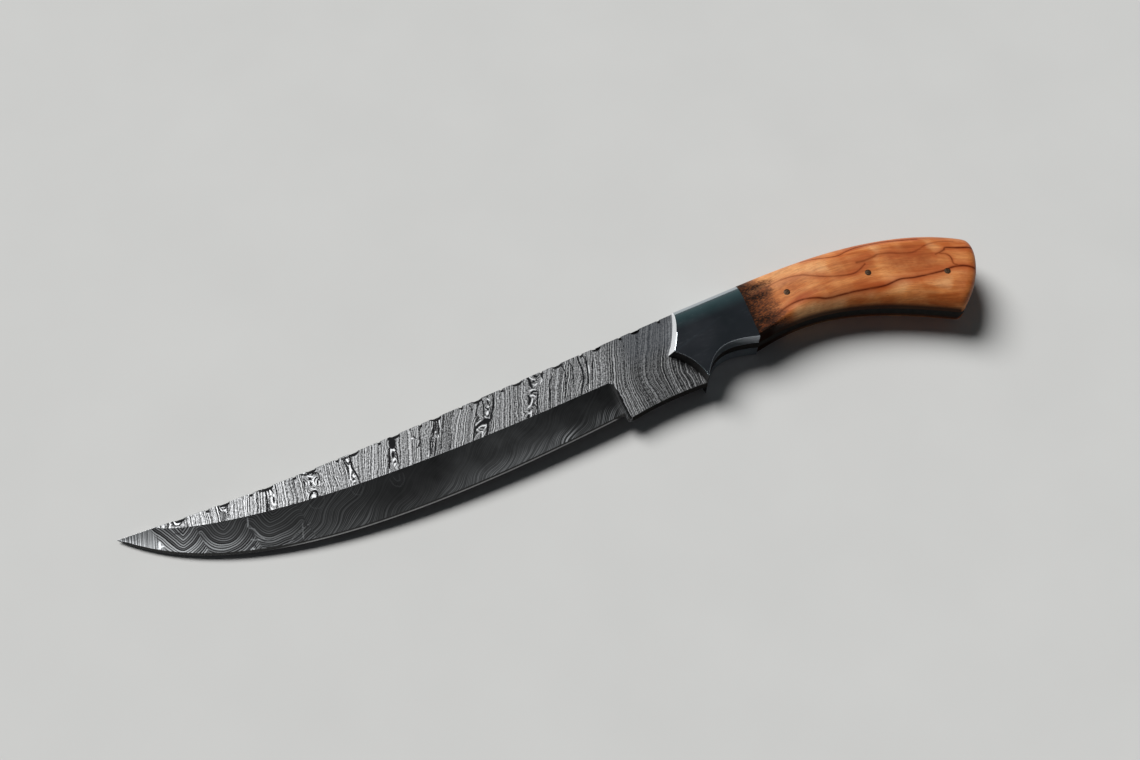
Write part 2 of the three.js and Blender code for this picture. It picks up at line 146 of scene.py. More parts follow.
TIP = (-BLADE_LENGTH, TIP_RISE)
HEEL = (-RICASSO_LENGTH - HEEL_SETBACK, HEEL_STEP - RICASSO_WIDTH)
GUARD_TIP = (-GUARD_REACH, -GUARD_DROP)
JOINT_TOP = (BOLSTER_LENGTH, 0.0)
JOINT_FOOT = (BOLSTER_LENGTH - JOINT_SLANT, -FRONT_WIDTH)
BUTT_TOP = (BOLSTER_LENGTH + SCALE_LENGTH, -BUTT_DROP)
RAKE = math.radians(BUTT_RAKE)
BUTT_FOOT = (BUTT_TOP[0] - BUTT_WIDTH * math.sin(RAKE), BUTT_TOP[1] - BUTT_WIDTH * math.cos(RAKE))

EDGE = Curve(HEEL, (-HEEL_PULL[0], -HEEL_PULL[1]), (TIP_PULL[0], -TIP_PULL[1]), TIP)
ARCH = Curve(GUARD_TIP, ARCH_FRONT, (-ARCH_REAR[0], ARCH_REAR[1]), JOINT_FOOT)
BACK = Curve(JOINT_TOP, BACK_FRONT, (-BACK_REAR[0], BACK_REAR[1]), BUTT_TOP)
BELLY = Curve(JOINT_FOOT, BELLY_FRONT, (-BELLY_REAR[0], BELLY_REAR[1]), BUTT_FOOT)


def spine_y(x):
    along = np.clip(-np.asarray(x, float) / BLADE_LENGTH, 0, 1)
    return (TIP_RISE + SPINE_DROOP) * along ** SPINE_TURN - SPINE_DROOP * along


def edge_y(x):
    return np.interp(x, EDGE.points[::-1, 0], EDGE.points[::-1, 1])


def underside_y(x):
    along = (x - GUARD_TIP[0]) / (HEEL[0] - GUARD_TIP[0])
    straight = GUARD_TIP[1] + (-RICASSO_WIDTH - GUARD_TIP[1]) * along
    return straight + 4 * RICASSO_HOLLOW * along * (1 - along)


def grind_y(x):
    length = BLADE_LENGTH - GRIND_RUNOUT - RICASSO_LENGTH
    along = np.clip((-x - RICASSO_LENGTH) / length, 0, 1)
    ahead = np.clip((-x - RICASSO_LENGTH) / PLUNGE_CORNER, 0, 1)
    corner = PLUNGE_CORNER * (1 - np.sqrt(1 - (1 - ahead) ** 2))
    return spine_y(x) - GRIND_DEPTH * (1 - along ** GRIND_FALL) ** GRIND_SWEEP - corner


RUNOUT_X = GRIND_RUNOUT - BLADE_LENGTH
RUNOUT_WIDTH = float(spine_y(RUNOUT_X) - edge_y(RUNOUT_X))


def flat_half(x, low_y):
    along = np.clip((-x - RICASSO_LENGTH) / (BLADE_LENGTH - RICASSO_LENGTH), 0, 1)
    tapered = (STOCK_THICKNESS + (TIP_THICKNESS - STOCK_THICKNESS) * along) / 2
    thin = HALF_EDGE + (tapered - HALF_EDGE) * (spine_y(x) - low_y) / RUNOUT_WIDTH
    return np.where(x < RUNOUT_X, thin, tapered)


def handle_width(s):
    return np.linalg.norm(BACK.along(s) - BELLY.along(s), axis=-1)


def handle_point(s, t):
    """Side view of the handle: s from joint to butt, t from belly -1 to back 1."""
    high, low = BACK.along(s), BELLY.along(s)
    across = high - low
    width = np.linalg.norm(across, axis=-1)
    turn = np.clip(1 - (1 - s) * BACK.length / CORNER_RADIUS, 0, 1)
    trim = (CORNER_RADIUS / width) * (1 - np.sqrt(1 - turn * turn))
    u = t * (1 - 2 * trim)
    swell = BUTT_BULGE * s ** 3 * (1 - u * u)
    out = np.stack([across[..., 1], -across[..., 0]], -1) / width[..., None]
    return low + across * ((u + 1) / 2)[..., None] + out * swell[..., None]


def rounded(distance, width):
    return np.sqrt(1 - (1 - np.clip(distance / width, 0, 1)) ** 2)


def scale_height(s, t):
    width = handle_width(s)
    swell = smooth(s * BACK.length, 0, SWELL_LENGTH)
    full = BOLSTER_THICKNESS + (SCALE_THICKNESS - BOLSTER_THICKNESS) * swell
    belly_round = JOINT_ROUND + (BELLY_ROUND - JOINT_ROUND) * swell
    turn = np.clip(1 - (1 - s) * BACK.length / BUTT_ROUND, 0, 1)
    end = 1 - (BUTT_LOSS / full) * (1 - np.sqrt(1 - turn * turn))
    from_back = rounded(width * (1 - t) / 2, TOP_ROUND)
    from_belly = rounded(width * (1 + t) / 2, belly_round)
    return full * end * np.minimum(from_back, from_belly)


# Mesh helpers


def add(name, data):
    """A new object in the scene."""
    obj = bpy.data.objects.new(name, data)
    bpy.context.scene.collection.objects.link(obj)
    return obj


def soften(mesh, angle):
    """Smooth shading with creases kept."""
    mesh.polygons.foreach_set("use_smooth", np.ones(len(mesh.polygons), bool))
    mesh.set_sharp_from_angle(angle=math.radians(angle))


def loft(name, rings, angle, index=None, side=1):
    """A closed smooth skin over equal rings, mirrored for the right side, in frame metres."""
    points, faces, count = np.concatenate(rings), [], len(rings[0])
    last = len(points) - count
    for a in range(0, last, count):
        b = a + count
        faces += [(a + k, a + (k + 1) % count, b + (k + 1) % count, b + k) for k in range(count)]
    faces.append(tuple(range(count))[::-1])
    faces.append(tuple(range(last, len(points))))
    if side < 0:
        points, faces = points * (1, 1, -1), [f[::-1] for f in faces]
    mesh = bpy.data.meshes.new(name)
    mesh.from_pydata([tuple(p) for p in place(points)], [], faces)
    mesh.validate()
    if index is not None:
        mesh.polygons.foreach_set("material_index", np.asarray(index, np.int32))
    soften(mesh, angle)
    return add(name, mesh)


def crease(mesh, pairs):
    """Marks the edges between the given vertex pairs as sharp."""
    wanted = {tuple(sorted(p)) for p in pairs}
    sharp = mesh.attributes.get("sharp_edge") or mesh.attributes.new("sharp_edge", "BOOLEAN", "EDGE")
    for edge in mesh.edges:
        if tuple(sorted(edge.vertices)) in wanted:
            sharp.data[edge.index].value = True


def store(obj, **fields):
    """Numbers for each vertex, read by the materials."""
    for name, values in fields.items():
        attribute = obj.data.attributes.new(name, "FLOAT", "POINT")
        attribute.data.foreach_set("value", np.asarray(values, np.float32))


def vertices(obj):
    """The object's vertices, in its own metres."""
    co = np.zeros(len(obj.data.vertices) * 3)
    obj.data.vertices.foreach_get("co", co)
    return co.reshape(-1, 3)


def drawing_points(obj):
    """The object's vertices, back in drawing millimetres."""
    return (vertices(obj) - ORIGIN) / MM


# Blade


def file_places(side):
    """How far ahead of the bolster the small notches of one side lie."""
    shift = 0 if side > 0 else FILE_PITCH / 2
    return np.arange(FILE_START + shift, BLADE_LENGTH - FILE_STOP, FILE_PITCH)


def file_depth(x, side):
    """How deep the file work cuts the spine's corner at x."""
    depth = np.full_like(x, SPINE_BREAK)
    for ahead in file_places(side):
        notch = (-ahead, NOTCH_RADIUS, NOTCH_DEPTH)
        scoop = (-ahead - SCOOP_OFFSET, SCOOP_RADIUS, SCOOP_DEPTH)
        for centre, radius, sink in (notch, scoop):
            inside = np.abs(x - centre) <= radius
            cut = np.sqrt(np.maximum(radius ** 2 - (x - centre) ** 2, 0)) - (radius - sink)
            depth = np.where(inside, np.maximum(depth, cut), depth)
    return depth


SIDE_POINTS = FLAT_POINTS + HOLLOW_POINTS + 2
GRIND_INDEX = FLAT_POINTS
BEVEL_INDEX = SIDE_POINTS - 2


def blade_stations():
    """Places along the blade, closer together at the tip, the plunge and the file work."""
    even = np.arange(-BLADE_LENGTH + TIP_GAP, HEEL[0], STATION_STEP)
    tip = -BLADE_LENGTH + np.array([0.12, 0.2, 0.3, 0.45, 0.65, 0.9])
    plunge = np.arange(-RICASSO_LENGTH - PLUNGE_RADIUS - PLUNGE_LEAD, HEEL[0], PLUNGE_STEP)
    half = np.array([0.25, 0.55, 0.8, 0.98, 1.02])
    notch = NOTCH_RADIUS * np.concatenate([-half, [0], half])
    places = np.concatenate([file_places(1), file_places(-1)])
    return even, tip, plunge, (notch - places[:, None]).ravel()


def blade_side(x, low_y, side):
    """One side of a section from the spine to the edge: rows of (x, y, z)."""
    top_y, flat = float(spine_y(x)), float(flat_half(x, low_y))
    rise = min(max((-x - RICASSO_LENGTH) / PLUNGE_RADIUS, 0), 1)
    ground = math.sqrt(1 - (1 - rise) ** 2)
    hollow = HOLLOW_DEPTH * (flat - HALF_EDGE) / (TANG_FACE - HALF_EDGE)
    width = top_y - low_y
    start_y = max(float(grind_y(x)), low_y + (TIP_FLAT_SHARE * width if x < RUNOUT_X else 0))
    bevel_y = low_y + min(EDGE_BEVEL, BEVEL_SHARE * width)
    chamfer = min(math.sqrt(2) * float(file_depth(np.array(x), side)), CHAMFER_SHARE * flat)
    part = np.linspace(0, 1, HOLLOW_POINTS + 1)[1:]
    y = np.concatenate([
        [top_y], np.linspace(top_y - chamfer, start_y, FLAT_POINTS),
        bevel_y + (start_y - bevel_y) * (1 - part), [low_y]])
    cut = part * (flat - HALF_EDGE) + 4 * part * (1 - part) * hollow
    z = np.concatenate([
        [flat - chamfer], np.full(FLAT_POINTS, flat), flat - ground * cut,
        [flat + (APEX_THICKNESS / 2 - flat) * ground]])
    return np.stack([np.full_like(y, x), y, side * z], -1)


def plain_side(high, low, side, chamfer):
    """One side of a tang section between two points of the outline."""
    share = np.concatenate([[0], np.linspace(0, 1, SIDE_POINTS - 1)])[:, None]
    down = np.array(low) - np.array(high)
    row = np.array(high) + down * share
    row[1] += down / np.linalg.norm(down) * chamfer
    z = np.full(len(row), TANG_FACE)
    z[0] -= chamfer
    return np.column_stack([row, side * z])


def sorted_places(*groups):
    return np.unique(np.round(np.concatenate(groups), 4))


def blade_rings():
    """Sections from tip to butt, and where the ground part and the ricasso with its arch end."""
    even, tip, plunge, cuts = blade_stations()
    bare = np.linspace(HEEL[0] + HEEL_GAP, -RICASSO_LENGTH, HEEL_RINGS)
    heel = sorted_places(bare, cuts[(cuts > HEEL[0]) & (cuts <= -RICASSO_LENGTH)])
    lows = [(x, float(edge_y(x))) for x in sorted_places(even, tip, plunge, cuts[cuts < HEEL[0]])]
    lows += [(x, float(underside_y(x))) for x in heel]
    rings = [tuple(blade_side(x, low, side) for side in (1, -1)) for x, low in lows]
    ground = len(rings)
    bare = np.linspace(-RICASSO_LENGTH + RICASSO_GAP, GUARD_TIP[0], RICASSO_RINGS)
    for x in sorted_places(bare, cuts[(cuts > -RICASSO_LENGTH) & (cuts <= GUARD_TIP[0])]):
        high, low = (x, float(spine_y(x))), (x, float(underside_y(x)))
        chamfers = [math.sqrt(2) * float(file_depth(np.array(x), side)) for side in (1, -1)]
        rings.append(tuple(plain_side(high, low, side, c) for side, c in zip((1, -1), chamfers)))
    for share in np.linspace(0, 1, ARCH_RINGS + 1)[1:]:
        low, high = ARCH.at(share), (BOLSTER_LENGTH * share, 0.0)
        rings.append(tuple(plain_side(high, low, side, 0.0) for side in (1, -1)))
    tang = len(rings)
    t = np.concatenate([[1], np.linspace(1, -1, SIDE_POINTS - 1)])
    for s in np.linspace(0, 1, TANG_RINGS + 1)[1:]:
        p = handle_point(np.full_like(t, s), t)
        rings.append(tuple(np.column_stack([p, np.full(len(p), side * TANG_FACE)]) for side in (1, -1)))
    return rings, ground, tang


# Materials of the blade's faces, by number
FLAT_FACE, HOLLOW_FACE, EDGE_FACE, DULL_FACE = range(4)


def build_blade():
    rings, ground, tang = blade_rings()
    count = 2 * SIDE_POINTS
    rings = [np.concatenate([left, right[::-1]]) for left, right in rings]
    k = np.arange(count)
    row = np.minimum(k, count - 2 - k)
    row[SIDE_POINTS - 1] = -1
    section = np.full(count, FLAT_FACE)
    section[row >= GRIND_INDEX] = HOLLOW_FACE
    section[row >= BEVEL_INDEX] = EDGE_FACE
    index = np.tile(section, (len(rings) - 1, 1))
    index[ground - 1:] = FLAT_FACE
    # Painted shade: the underside strip from the ricasso back, and the whole tang, take the near-black
    # tang material
    index[ground:, SIDE_POINTS - 1] = DULL_FACE
    index[tang - 1:] = DULL_FACE
    index = np.append(index, [FLAT_FACE, DULL_FACE])
    obj = loft("blade_steel", rings, BLADE_CREASE, index)
    pairs = []
    for r in range(ground - 1):
        for j in (GRIND_INDEX, BEVEL_INDEX, SIDE_POINTS - 1):
            for k in (j, count - 1 - j):
                pairs.append((r * count + k, (r + 1) * count + k))
    crease(obj.data, pairs)
    return obj


# Pattern of the forged layers

# How far the pattern of the right side is moved, so that it doesn't copy the left
PATTERN_SHIFT, FIGURE_SHIFT = 6.3, 1.6
# Each column of the pattern on the flat: place at the spine, slope, half width, and its swing with size,
# length and start
COLUMNS = (
    (-193, 0.2, 1.3, 1, 4.6, 0.2),
    (-176.4, 0.26, 1.4, 1.1, 5.2, 1.3),
    (-159.8, 0.18, 1.4, 0.9, 7, 2.6),
    (-144.6, 0.14, 2, 1.7, 4.4, 0.6),
    (-131, 0.05, 1.1, 1, 5, 1.9),
    (-113.8, 0.2, 1.4, 1, 5, 0.1),
    (-95.6, 0.45, 1.5, 0.9, 8, 0.9),
    (-75.6, 0.6, 2, 1.5, 5.2, 2.2),
    (-56.2, 0.6, 2.1, 1.7, 4.2, 0.4),
    (-36.6, 0.42, 1.2, 0.8, 7.5, 1.1),
)
# Paths are written x, y, x, y and so on, in tenths of a millimetre
PATH_UNIT = 10
# Strokes by the place of their column: white (1) to black (-1), half width, path from that place
# The black arcs by the spine at the top of several columns are painted shadow in the file work's scoops
STROKES = {
    -193: (
        (-1, 0.22, -21, 10, -21, -4, -13, -15, 2, -13, 10, -2),
        (1, 0.26, -15, 9, -16, -4, -10, -10, 0, -8, 6, -2),
        (-1, 0.36, -8, 4, -1, 0, 6, 3),
    ),
    -176: (
        (-1, 0.4, -21, -3, -8, -9, 4, -9, 12, -4),
        (1, 0.36, -17, -14, -5, -18),
        (1, 0.28, -23, -28, -15, -34, -8, -29),
        (-1, 0.22, -19, -21, -11, -25, -4, -21),
        (-1, 0.22, -29, -7, -27, -24, -22, -36),
        (-0.9, 0.16, 4, -15, -2, -32, -12, -66),
        (-0.3, 1.1, -18, -34, -21, -46, -26, -66),
    ),
    -160: (
        (-1, 0.34, -43, -9, -30, -17, -18, -21, -8, -13),
        (1, 0.26, -4, -17, -2, -34, -6, -46),
        (0.9, 0.22, -11, -28, -16, -50, -29, -96),
        (-1, 0.28, -18, -22, -21, -46, -30, -76, -39, -100),
        (-0.9, 0.16, -8, -26, -13, -46, -24, -78, -31, -102),
        (1, 0.34, 4, -48, 2, -54),
        (1, 0.24, -5, -54, -11, -72, -8, -87, -2, -80),
        (-1, 0.28, 0, -58, -3, -70, -6, -80),
        (-1, 0.24, 3, -22, 5, -39),
        (-0.9, 0.18, 20, -16, 17, -42, 10, -68),
        (0.9, 0.3, -21, -92, -18, -104),
        (-0.8, 0.13, 0, -90, -6, -106),
    ),
    -145: (
        (1, 0.5, 3, -21, 18, -27),
        (-1, 0.34, -33, -18, -20, -25, -10, -28, -2, -23),
        (-1, 0.26, 1, -36, 12, -32, 22, -33),
        (1, 0.22, -14, -31, -4, -39, 6, -46),
        (-1, 0.46, -10, -42, -7, -52),
        (1, 0.2, 1, -80, -3, -66, 1, -54, 12, -47),
        (-1, 0.22, 2, -64, 9, -54, 19, -52),
        (1, 0.18, 5, -76, 7, -64, 15, -58),
        (-1, 0.26, 9, -79, 12, -66, 18, -60),
        (0.9, 0.2, -20, -68, -16, -50),
        (-1, 0.34, -15, -73, -10, -62),
        (-1, 0.18, 27, -39, 21, -62, 13, -90),
        (0.9, 0.2, 19, -66, 12, -86),
        (-0.9, 0.2, -29, -30, -32, -54, -42, -86),
        (1, 0.18, -19, -82, -11, -89, -3, -93),
        (-1, 0.24, -14, -83, -6, -87),
        (-0.9, 0.34, -40, -124, -32, -108, -18, -97, -6, -100, -6, -112, -12, -130),
        (1, 0.66, -25, -120, -16, -111),
        (-1, 0.26, -26, -123, -21, -120),
    ),
    -131: (
        (1, 0.42, -4, -31, -2, -43),
        (1, 0.4, 2, -50, -4, -70, -10, -88, -20, -112),
        (1, 0.36, -6, -94, -4, -108),
        (1, 0.34, -6, -121, -11, -123),
        (-1, 0.24, -17, -22, -6, -27, 8, -24),
        (-1, 0.24, -16, -26, -14, -46, -12, -66, -16, -86, -23, -108),
        (-1, 0.24, -9, -32, -7, -48, -2, -53, 2, -42),
        (-1, 0.32, 11, -22, 7, -46, 2, -70, 5, -90, 8, -122),
        (-1, 0.24, -3, -83, -9, -96, -15, -108),
        (-1, 0.32, -5, -112, -12, -116),
        (-1, 0.26, -9, -129, -15, -130),
        (-0.8, 0.16, 8, -120, 2, -142),
    ),
    -115: (
        (1, 0.4, -19, -92, -12, -72, -3, -64, 5, -74),
        (1, 0.4, -6, -102, -16, -109),
        (1, 0.3, -12, -120, -19, -129),
        (-1, 1.15, 12, -22, 7, -44, 0, -60),
        (-1, 0.8, 1, -24, 14, -22, 27, -23),
        (-1, 0.56, -4, -76, -11, -96),
        (-1, 0.34, -9, -56, -23, -94, -39, -130),
        (-1, 0.24, 10, -64, 6, -94, -3, -126),
        (-1, 0.3, -9, -112, -16, -118),
    ),
    -106: (
        (0.9, 0.26, -12, -54, -8, -60),
        (-0.9, 0.22, -3, -50, 1, -63),
        (-1, 0.26, 15, -63, 10, -70),
        (-1, 0.24, -10, -99, 3, -89, 12, -79),
    ),
    -98: (
        (-1, 0.3, -5, -17, 8, -22, 24, -22, 32, -17),
        (1, 0.26, -8, -46, -16, -62, -23, -76),
        (1, 0.24, 25, -32, 18, -48, 1, -76),
        (1, 0.18, 10, -42, -7, -72),
        (-1, 0.3, 4, -32, -4, -50, -12, -68, -22, -82),
        (-1, 0.24, -6, -48, -17, -64, -24, -74),
        (-1, 0.26, 11, -24, 8, -42, -4, -66),
        (-1, 0.28, 21, -28, 17, -42, 8, -64, 0, -80),
        (0.9, 0.22, 0, -86, -4, -92),
        (0.9, 0.22, -32, -102, -42, -120),
        (0.9, 0.2, -52, -126, -66, -148),
        (-1, 0.28, -26, -80, -42, -108, -60, -148),
        (-1, 0.22, -24, -92, -39, -118, -52, -144),
        (-1, 0.26, -12, -92, -28, -122, -44, -152),
        (-0.9, 0.18, 20, -72, 4, -104, -14, -140),
        (-0.9, 0.18, 46, -96, 32, -124, 16, -154),
        (-0.9, 0.18, 50, -16, 38, -38, 22, -70),
    ),
    -78: (
        (-1, 0.24, -3, -12, -6, -44, -16, -70, -26, -92),
        (-1, 0.28, 44, -16, 28, -58, 10, -84, -6, -110),
        (1, 0.26, 17, -26, 21, -36),
        (-1, 0.3, 23, -14, 20, -20),
        (-1, 0.3, 15, -33, 11, -49),
        (1, 0.24, 10, -56, 6, -60),
        (-1, 0.34, 5, -64, -1, -68),
        (1, 0.38, -3, -74, -10, -86),
        (-1, 0.22, 3, -78, -4, -89, -13, -92),
        (1, 0.2, -20, -88, -15, -99, -7, -99),
        (-1, 0.28, -93, -152, -79, -128, -62, -114),
        (-1, 0.55, -68, -117, -46, -108, -26, -102),
        (-1, 1.05, -36, -109, -24, -106, -10, -109),
        (-1, 0.38, -20, -114, -30, -136, -46, -164),
        (1, 0.18, -70, -126, -54, -119, -36, -120, -31, -125, -40, -134),
        (-1, 0.2, -54, -123, -39, -128),
        (-1, 0.2, -61, -130, -48, -136),
        (1, 0.18, -60, -137, -52, -140, -61, -158),
        (-1, 0.18, -60, -144, -69, -162),
        (0.8, 0.16, -64, -105, -48, -99, -34, -96),
        (-0.9, 0.18, -56, -97, -38, -91),
        (-0.8, 0.18, -53, -18, -50, -48),
        (-0.7, 0.14, -76, -104, -66, -88, -48, -72, -38, -54),
    ),
    -60: (
        (-1, 0.5, 3, -8, 6, -24, 2, -42, 3, -59),
        (1, 0.22, 10, -12, 18, -24, 26, -28),
        (-1, 0.34, 12, -37, 22, -34),
        (1, 0.22, 11, -46, 18, -51, 28, -46),
        (-1, 0.38, 27, -8, 32, -19, 41, -21),
        (-1, 0.3, 63, -9, 54, -32, 47, -50),
        (1, 0.22, 36, -52, 46, -46, 51, -34),
        (-0.9, 0.16, -18, -14, -19, -36),
        (1, 0.22, -14, -66, 0, -63, 12, -69),
        (-1, 0.3, -12, -74, 1, -72, 8, -77),
        (1, 0.26, -20, -83, -7, -85, -1, -95),
        (-1, 0.5, -24, -78, -24, -94, -36, -112),
        (-1, 0.24, -2, -82, 2, -88),
        (1, 0.24, -12, -94, -22, -108, -32, -118, -48, -124),
        (-1, 0.24, -12, -104, -16, -110),
        (-1, 0.32, -49, -136, -41, -133),
        (-1, 0.22, -32, -128, -29, -135),
        (1, 0.28, -52, -144, -42, -147, -39, -139),
        (-1, 0.4, -62, -162, -53, -149),
        (-1, 0.24, -41, -154, -36, -147),
        (1, 0.22, -48, -159, -44, -150),
        (-1, 0.24, 18, -76, 2, -104, -12, -136, -22, -164),
        (-1, 0.22, 91, -42, 66, -68, 51, -106, 24, -162),
    ),
    -38: (
        (-0.9, 0.18, -83, -12, -82, -54, -106, -104, -130, -158),
        (-0.9, 0.16, -52, -8, -50, -44, -64, -84, -84, -122),
        (-1, 0.3, -14, -10, -18, -46, -23, -76, -42, -120, -71, -160),
        (1, 0.2, 8, -60, -3, -92),
        (1, 0.32, -24, -128, -31, -150),
        (-1, 0.26, 13, -22, 4, -48, -6, -82, -22, -122, -42, -160),
        (-1, 0.4, 8, -42, 2, -52),
        (-0.9, 0.2, 30, -48, 14, -80, -6, -118),
        (-0.7, 0.14, 44, -12, 31, -50, 6, -100, -18, -154),
    ),
    -20: (
        (-0.7, 0.16, -10, -16, -36, -80, -70, -150, -98, -230),
        (-0.6, 0.13, 46, -12, 20, -80, -16, -160, -34, -250),
    ),
}
# Strokes on the hollow grind: white to black, half width, path
GRIND_STROKES = (
    (0.03, 0.2, -1204, -164, -1198, -194, -1178, -206, -1158, -192, -1152, -164),
    (0.03, 0.18, -1190, -164, -1184, -182, -1172, -184, -1166, -164),
    (0.03, 0.2, -1342, -146, -1338, -166, -1322, -174, -1304, -162, -1300, -144),
    (0.03, 0.2, -1496, -132, -1490, -152, -1466, -162, -1444, -148, -1438, -132),
    (-0.9, 0.14, -2017, -16, -2027, -44, -2038, -70),
    (0.9, 0.46, -2018, -42, -2023, -63),
    (0.9, 0.3, -2030, -65, -2018, -62, -2009, -63),
    (-0.8, 0.22, -1962, -37, -1946, -44, -1930, -38),
    (-0.6, 0.12, -2102, 4, -2090, -1, -2076, 6),
    (-0.6, 0.12, -2100, -7, -2088, -12, -2078, -6),
    (0.28, 0.2, -1710, -92, -1716, -112, -1722, -124),
    (-0.8, 0.36, -1719, -134, -1712, -152, -1718, -168),
    (0.16, 0.2, -1722, -126, -1704, -138, -1694, -168, -1682, -188),
    (0.16, 0.18, -1728, -170, -1710, -179, -1692, -184),
    (-0.8, 0.24, -1700, -176, -1684, -196, -1654, -206),
    (-1, 0.26, -1756, -206, -1734, -192, -1722, -190, -1720, -216),
    (0.3, 0.24, -1746, -208, -1732, -202, -1728, -212),
    (-0.8, 0.16, -1706, -194, -1692, -208, -1664, -224),
    (-0.8, 0.34, -1592, -240, -1576, -230, -1562, -228),
    (0.12, 0.18, -1616, -242, -1584, -222, -1550, -210, -1518, -200),
    (0.12, 0.18, -1560, -244, -1552, -218, -1542, -186),
    (-0.6, 0.18, -1538, -186, -1534, -206, -1514, -224),
)
# Lines that the layers follow on the hollow grind, one for each bay: where the bay ends, path
GROWTH = (
    (-188.2, -2036, 12, -2016, -24, -1997, -64, -1978, -98, -1962, -114, -1944, -119, -1914, -110,
     -1878, -90),
    (-172, -1876, -74, -1864, -114, -1844, -143, -1814, -159, -1780, -157, -1746, -140, -1720, -116),
    (-154.2, -1718, -124, -1698, -170, -1674, -194, -1636, -203, -1590, -199, -1544, -184),
)
# Painted light along the blade: the flat is made lighter towards the tip, where it catches more light
FLAT_TONE = ((-200, 1.0), (-140, 0.84), (-90, 0.74), (-36, 0.72))
# How light the hollow grind is along the blade: partly the steel's own tone, partly painted shade and
# light
GRIND_TONE = (
    (-215, 0.68), (-195, 0.67), (-183, 0.44), (-165, 0.37), (-140, 0.35), (-110, 0.25), (-80, 0.72),
    (-50, 0.48), (-36.5, 0.40), (-35, 0.30), (-33, 0.25))


def spread(groups):
    """Strokes with their paths moved from their column's place to the blade."""
    return [(tone, half, *(np.reshape(path, (-1, 2)) + (spot * PATH_UNIT, 0)).ravel())
            for spot, group in groups.items() for tone, half, *path in group]


def sample_path(path):
    """A smooth line through the points of a path, in millimetres."""
    p = np.reshape(path, (-1, 2)) / PATH_UNIT
    ends = np.vstack([2 * p[0] - p[1], p, 2 * p[-1] - p[-2]])
    t = np.linspace(0, 1, PATH_STEPS, endpoint=False)[:, None]
    rows = []
    for a, b, c, d in zip(ends, ends[1:], ends[2:], ends[3:]):
        bent = 2 * a - 5 * b + 4 * c - d
        twist = 3 * b - a - 3 * c + d
        rows.append(0.5 * (2 * b + (c - a) * t + bent * t ** 2 + twist * t ** 3))
    return np.vstack(rows + [p[-1:]])


def nearest_on(line, x, y):
    """Distance from each place to a line, and the number of the line's nearest point."""
    gap = np.hypot(x[:, None] - line[None, :, 0], y[:, None] - line[None, :, 1])
    nearest = gap.argmin(1)
    return gap[np.arange(len(x)), nearest], nearest


def lean(x):
    """Sideways run of the fine lines per millimetre of height."""
    return 0.24 + 0.26 * smooth(x, -140, -90)


def stroke_field(x, y, strokes, inner=0.7, outer=1.25, taper=0.55):
    """White and black strokes laid one over the other: 1 is white, -1 is black, 0 is bare."""
    ink = np.zeros_like(x)
    for tone, half, *path in strokes:
        line = sample_path(path)
        reach = (outer + 0.5) * half
        low, high = line.min(0) - reach, line.max(0) + reach
        near = np.flatnonzero((x > low[0]) & (x < high[0]) & (y > low[1]) & (y < high[1]))
        if len(near) == 0:
            continue
        gap, nearest = nearest_on(line, x[near], y[near])
        share = nearest / (len(line) - 1)
        width = half * (1 - taper + taper * np.sqrt(4 * share * (1 - share)))
        rough = 0.05 * np.sin(5.1 * x[near] + 2.3 * y[near]) * np.sin(3.7 * y[near] - 1.9 * x[near])
        cover = 1 - smooth(gap + rough, inner * width, outer * width)
        ink[near] += (tone - ink[near]) * cover
    return ink


def layer_field(x, y):
    """Height in the stack of layers on the flat, and boldness of its lines."""
    turn = np.clip((-y - 14) / 12, 0, 1)
    fall = np.maximum(y, -26) + 12 * (turn ** 3 - turn ** 4 / 2)
    waves = 0.5 * np.sin(0.17 * x + 0.11 * y) + 0.3 * np.sin(0.41 * x - 0.13 * y + 1.7)
    phase = x - lean(x) * (fall + 8) + waves
    bold = np.zeros_like(x)
    for spine, slope, half, swing, wave, start in COLUMNS:
        away = (x - spine - slope * y) / half
        near = np.exp(-away ** 2)
        phase += swing * near * np.sin(2 * math.pi * y / wave + start)
        bold = np.maximum(bold, np.exp(-(away / 1.1) ** 2))
    return phase, bold


def contour_field(x, y):
    """Height in the layers on the hollow grind, how clearly its lines show and how light it is; the last
    two are partly the steel's own look and partly painted shade and light.
    """
    phase = 1.2 * y - 0.9 * x + 0.9 * np.sin(0.37 * x) + 0.7 * np.sin(0.5 * y + 0.21 * x)
    start = -math.inf
    along = x + 0.14 * (y + 8)
    for end, *path in GROWTH:
        line = sample_path(path)
        bay = np.flatnonzero((along >= start) & (along < end))
        gap, _ = nearest_on(line, x[bay], y[bay])
        phase[bay] = np.where(y[bay] > np.interp(x[bay], line[:, 0], line[:, 1]), -gap, gap)
        start = end
    above = y - edge_y(x)
    low = 1 - smooth(above, 3.5, 9)
    tip = smooth(-x, 146, 182) * (0.1 + 0.9 * np.maximum(low, smooth(-x, 184, 193)))
    heel = (1 - smooth(above, 2.5, 7)) * smooth(x, -68, -58) * np.cos(math.pi * (x + 40) / 17) ** 2
    # Painted light along with the steel's tone: the grind is lighter by the edge in the middle of the
    # blade
    lift = 0.8 * smooth(x, -130, -90) * (1 - 0.5 * smooth(x, -56, -42))
    tone = np.interp(x, *np.transpose(GRIND_TONE)) * (1 + lift * (1 - smooth(above, 1, 9)))
    rear = 0.04 + 0.16 * (1 - smooth(above, 2, 7)) + 0.18 * smooth(-x, 122, 136)
    return phase, np.maximum(rear + (1 - rear) * tip, 0.9 * heel), tone


